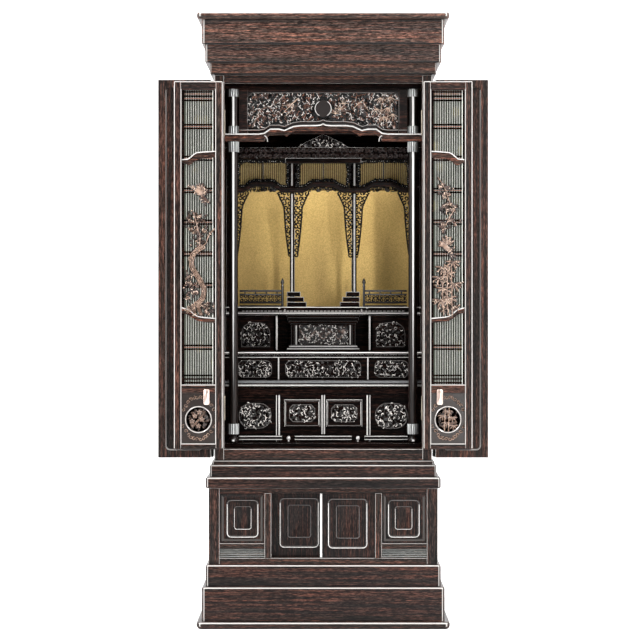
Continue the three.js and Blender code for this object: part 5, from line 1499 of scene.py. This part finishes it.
def screen_leaf(side, letter, design, flower):
    word = "left" if side < 0 else "right"
    body = f"screen_{word}_{letter}"
    xs, ys, zs = span(f"screen_{word}_{letter}_lattice")
    toward = -1 if letter == "b" else 1
    outer = ys[0] if toward < 0 else ys[1]

    def deep(depth):
        return outer - toward * depth

    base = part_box(f"screen_{word}_{letter}_frame")[0][2]
    centre = (xs[0] + xs[1]) / 2
    half = (xs[1] - xs[0]) / 2
    # x grows from the turning edge to the free edge on a leaf with way 1, and the other way with -1
    way = -side if letter == "b" else side

    def at(u, height):
        return centre + way * u * half, base + height * MM

    border = 5.6 * MM
    field_x = (xs[0] + border, xs[1] - border)
    slats, glints, cloth, waves, wave_highlights, carved = Form(), Form(), Form(), Form(), Form(), Form()
    for x0, x1 in ((xs[0], field_x[0]), (field_x[1], xs[1])):
        slats.box((x0, x1), (deep(4.5 * MM), deep(7.6 * MM)), zs)
    # strips of painted highlight at the field's right edge and down the left side of each lath
    glints.box((field_x[1] - 0.4 * MM, field_x[1] + 1.2 * MM), (deep(4.2 * MM), deep(5 * MM)), zs)
    cells = 12
    pitch = (field_x[1] - field_x[0]) / cells
    for i in range(1, cells):
        x = field_x[0] + i * pitch
        slats.box((x - 0.2 * MM, x + 1.3 * MM), (deep(4.6 * MM), deep(7.4 * MM)), zs)
        glints.box((x - 1.0 * MM, x - 0.2 * MM), (deep(4.8 * MM), deep(6 * MM)), zs)
    bars = [zs[1] - z * MM for z in (3.5, 13, 22.5)] + [zs[0] + z * MM for z in (3.5, 11.5, 19.5)]
    between = [zs[1] - 8 * MM, zs[1] - 18 * MM]
    for z in (712, 642, 571, 501, 431, 362, 225):
        bars.extend((base + (z + 4.2) * MM, base + (z - 4.2) * MM))
        between.append(base + z * MM)
    for z in bars:
        slats.box(field_x, (deep(4.0 * MM), deep(7.4 * MM)), (z - 1.6 * MM, z + 1.6 * MM))
    # a thin line of painted reddish highlight between the two bars of each pair
    tan = Form()
    for z in between:
        tan.box(field_x, (deep(4.3 * MM), deep(6 * MM)), (z - 0.5 * MM, z + 0.5 * MM))
    tan.make(f"lattice_tan_edges_{word}_{letter}", GLINT_RED, body)
    cloth.box(xs, (deep(7.6 * MM), deep(8.4 * MM)), zs)
    slats.make(f"lattice_{word}_{letter}", WOOD_DARK, body, replaces=[f"screen_{word}_{letter}_lattice"])
    glints.make(f"lattice_highlights_{word}_{letter}", LATH_HIGHLIGHT, body)
    cloth.make(f"gauze_{word}_{letter}", GAUZE, body, slot="gauze")

    # with rods of painted highlight along the top of each wavy rail
    for wave in (UPPER_WAVE, LOWER_WAVE):
        top = smooth_line([at(u, high) for u, high, low in wave], 5)
        low = smooth_line([at(u, low) for u, high, low in wave], 5)
        waves.loft([[(a[0], deep(2.2 * MM), b[1]), (a[0], deep(7.6 * MM), b[1]), (a[0], deep(7.6 * MM), a[1]),
                     (a[0], deep(2.2 * MM), a[1])]
                    for a, b in zip(top, low)])
        wave_highlights.rod([(a[0], deep(2.4 * MM), a[1] - 0.6 * MM) for a in top], 1.25 * MM, 6)
    waves.make(f"wavy_rails_{word}_{letter}", WOOD_RED, body, bevel=0.8 * MM)
    wave_highlights.make(f"wavy_rail_highlights_{word}_{letter}", BRIGHT_HIGHLIGHT, body)

    carving = Carving((xs[0] + 1 * MM, xs[1] - 1 * MM), (base + 286 * MM, base + 628 * MM), FINE)
    design(at, carving, way)
    carving.openwork(carved, outer, 4.6 * MM, toward)
    rows = carving.z[:, 0]
    columns = carving.x[0]

    def on_carving(x, z):
        return carving.h[np.abs(rows - z).argmin(), np.abs(columns - x).argmin()] > 0.3
    # marks on the carving: painted highlight in pale tan, painted shade in near-black
    for kind, material, seed, share in (("pale", GLINT_TAN, 5, 0.55), ("dark", SCROLL_WOOD_AND_SHADE, 6, 0.65)):
        marks = Form()
        painted_light_marks(marks, (xs[0] + 3 * MM, xs[1] - 3 * MM), (base + 288 * MM, base + 626 * MM),
                    outer - toward * 1.0 * MM, seed,
                    5.4 * MM, on_carving, 0.6 * MM, share)
        marks.make(f"carving_{kind}_edges_{word}_{letter}", material, body, slot="carving",
                   smooth_angle=ROUND)
    carved.make(f"carving_{word}_{letter}", CARVED_TAN, body, slot="carving")

    xs, ys, zs = span(f"screen_{word}_{letter}_panel")
    middle = (zs[0] + zs[1]) / 2 - 3 * MM
    radius = 26.5 * MM
    panel, ring = Form(), Form()
    field = Carving(xs, zs, FINE)
    for s in (-1, 1):
        for k in range(6):
            drop = 1.1 * k * k
            field.curl(centre + s * (4 + 6 * k) * MM, zs[1] - (9 + drop) * MM, 4.2 * MM, 1.5 * k, s, 1.3 * MM,
                       0.95, 1.0)
            field.curl(centre + s * (4 + 6 * k) * MM, zs[0] + (9 + drop) * MM, 4.2 * MM, 1.5 * k, -s,
                       1.3 * MM, 0.95, 1.0)
    away = np.hypot(field.x - centre, field.z - middle)
    ground = np.where(away < radius, 0, 0.42)
    field.h = np.where(away < radius + 3 * MM, 0, field.h)
    medallion(field, centre, middle, flower, radius)
    field.h = np.maximum(np.where(away > radius + 3 * MM, field.h, np.where(away < radius, field.h, 0)),
                         ground)
    field.relief(panel, deep(2.5 * MM), 5 * MM, toward)
    panel.make(f"medallion_{word}_{letter}", CARVED_TAN, body, slot="carving",
               replaces=[f"screen_{word}_{letter}_panel"])
    # a rod of painted highlight round the medallion
    ring.rod(circle(centre, deep(3 * MM), middle, radius + 2.2 * MM, (0, 2 * math.pi), 41), 1.3 * MM, 8)
    ring.make(f"medallion_ring_{word}_{letter}", ARRIS, body)
    back = Form()
    back.box(xs, (deep(7.5 * MM), deep(9 * MM)), zs)
    back.make(f"medallion_back_{word}_{letter}", WOOD_Z, body)


def screens():
    screen_leaf(-1, "b", bird_and_pine, "blossom")
    screen_leaf(1, "b", blossom_and_bamboo, "bamboo")
    screen_leaf(-1, "a", pine_alone, "bamboo")
    screen_leaf(1, "a", blossom_alone, "blossom")
    for word in ("left", "right"):
        xs, ys, zs = span(f"pull_tag_{word}")
        tag = Form()
        rings = [rounded_ring(*inset(xs, zs, by * MM), 3.5 * MM, y)
                 for by, y in ((0, ys[1]), (0, ys[0] + 0.5 * MM), (0.6, ys[0]))]
        tag.loft(rings)
        tag.make(f"pull_tag_plate_{word}", TAG_METAL, f"screen_{word}_b", slot="tag_metal",
                 replaces=[f"pull_tag_{word}"])
        eye = Form()
        x, z = (xs[0] + xs[1]) / 2, zs[1] - 6 * MM
        eye.rod(circle(x, ys[0] - 0.1 * MM, z, 2 * MM, (0, 2 * math.pi), 17), 0.5 * MM, 6)
        eye.make(f"pull_tag_eye_{word}", KNUCKLE_METAL, f"screen_{word}_b", slot="tag_metal")


# Hinge knuckles along the turning edges

def knuckles():
    joints = {joint["name"]: joint for joint in frame["joints"]}
    for side, word in ((-1, "left"), (1, "right")):
        for name, body, radius, zs in (
            (f"screen_{word}_hinge", f"screen_{word}_a", 2.0 * MM, ((0.458, 0.512), (1.09, 1.147))),
            (f"outer_{word}_fold", f"outer_door_{word}_a", 2.2 * MM, ((0.44, 0.49), (1.10, 1.15))),
            (f"outer_{word}_hinge", f"outer_door_{word}_a", 2.0 * MM, ((0.44, 0.49), (1.10, 1.15))),
        ):
            x, y, _ = joints[name]["pos_m"]
            x = side * min(abs(x), cad_box[1][0] - radius)
            form = Form()
            for low, high in zs:
                parts = 5
                for k in range(parts):
                    a = low + (high - low) * k / parts
                    b = low + (high - low) * (k + 1) / parts
                    form.turned([(0, a), (radius * 0.9, a), (radius, a + 0.6 * MM), (radius, b - 0.6 * MM),
                                 (radius * 0.9, b), (0, b)], x, y, 14)
            form.make(f"knuckles_{name}", KNUCKLE_METAL, body, slot="tag_metal")


# Camera, lights and floor

def studio():
    floor = bpy.data.meshes.new("floor")
    far, width, rise = 3.2, 9.0, 5.0
    profile = [(-9.0, 0.0), (far - 1.5, 0.0)]
    profile += [(far - 1.5 + 1.5 * math.sin(t), 1.5 - 1.5 * math.cos(t))
                for t in np.linspace(0.15, math.pi / 2, 10)]
    profile.append((far, rise))
    verts = [(x, y, z) for x in (-width, width) for y, z in profile]
    n = len(profile)
    floor.from_pydata(verts, [], [(i, i + 1, n + i + 1, n + i) for i in range(n - 1)])
    floor.shade_smooth()
    graph = Graph("pale floor")
    tone = graph.ramp(graph.noise((1, 1, 1), 2, scale=2.0),
                      [(0.3, (0.80, 0.80, 0.80)), (0.7, (0.84, 0.84, 0.84))])
    floor.materials.append(graph.finish(tone, Roughness=0.8))
    obj = bpy.data.objects.new("floor", floor)
    bpy.context.scene.collection.objects.link(obj)

    world = bpy.data.worlds.new("studio")
    bpy.context.scene.world = world
    world.use_nodes = True
    world.node_tree.nodes["Background"].inputs["Color"].default_value = (1, 1, 1, 1)
    world.node_tree.nodes["Background"].inputs["Strength"].default_value = 0.12

    def lamp(name, place, aim, size, power):
        light = bpy.data.lights.new(name, "AREA")
        light.shape = "RECTANGLE"
        light.size, light.size_y = size
        light.energy = power
        obj = bpy.data.objects.new(name, light)
        obj.location = place
        obj.rotation_euler = (Vector(aim) - Vector(place)).to_track_quat("-Z", "Y").to_euler()
        bpy.context.scene.collection.objects.link(obj)

    lamp("softbox left", (-2.2, -0.6, 1.0), (0, -0.2, 0.8), (1.0, 2.4), 80)
    lamp("softbox right", (2.2, -0.6, 1.0), (0, -0.2, 0.8), (1.0, 2.4), 80)
    lamp("softbox above", (0, -0.7, 3.0), (0, -0.1, 0.7), (3.0, 0.9), 130)
    lamp("key left", (-2.0, -3.6, 2.6), (0, -0.1, 0.75), (0.9, 0.9), 80)
    lamp("key right", (2.2, -3.4, 2.6), (0, -0.1, 0.75), (0.9, 0.9), 70)
    lamp("strip", (1.1, -4.4, 0.95), (0, -0.1, 0.85), (0.2, 2.0), 35)
    lamp("backdrop left", (-3.2, 1.0, 2.2), (-0.8, 3.2, 0.8), (2, 2), 180)
    lamp("backdrop right", (3.2, 1.0, 2.2), (0.8, 3.2, 0.8), (2, 2), 180)
    lamp("altar lamp", (0, 0.07, 1.02), (0, 0.17, 0.7), (0.36, 0.05), 0.35)


def camera():
    """A level camera with the photograph's scale: axis_x and ground_y are the pixels of the cabinet's middle
    line and of the floor in front of it."""
    metres_per_pixel = 2.22 * MM
    sensor = 36
    axis_x, ground_y = 323.2, 626.5
    frame_pixels = 640
    distance = 4.0
    eye_z = 0.725
    lens_camera = bpy.data.cameras.new("camera")
    obj = bpy.data.objects.new("camera", lens_camera)
    bpy.context.scene.collection.objects.link(obj)
    bpy.context.scene.camera = obj
    obj.location = (0, FRONT_Y - distance, eye_z)
    obj.rotation_euler = (math.pi / 2, 0, 0)
    lens_camera.sensor_width = sensor
    lens_camera.lens = sensor * distance / (frame_pixels * metres_per_pixel)
    lens_camera.shift_x = -(axis_x - frame_pixels / 2) / frame_pixels
    middle_z = (ground_y - frame_pixels / 2) * metres_per_pixel
    lens_camera.shift_y = (middle_z - eye_z) / (frame_pixels * metres_per_pixel)


bpy.context.scene.view_settings.view_transform = "Standard"
camera()
studio()
mouldings()
cornice_shadow_lines()
dress_boards()
frames()
low_cabinet()
pillars()
beam_and_transom()
gable()
canopy()
gilt_back()
tiers()
altar_table()
platform_trim()
railings()
screens()
knuckles()
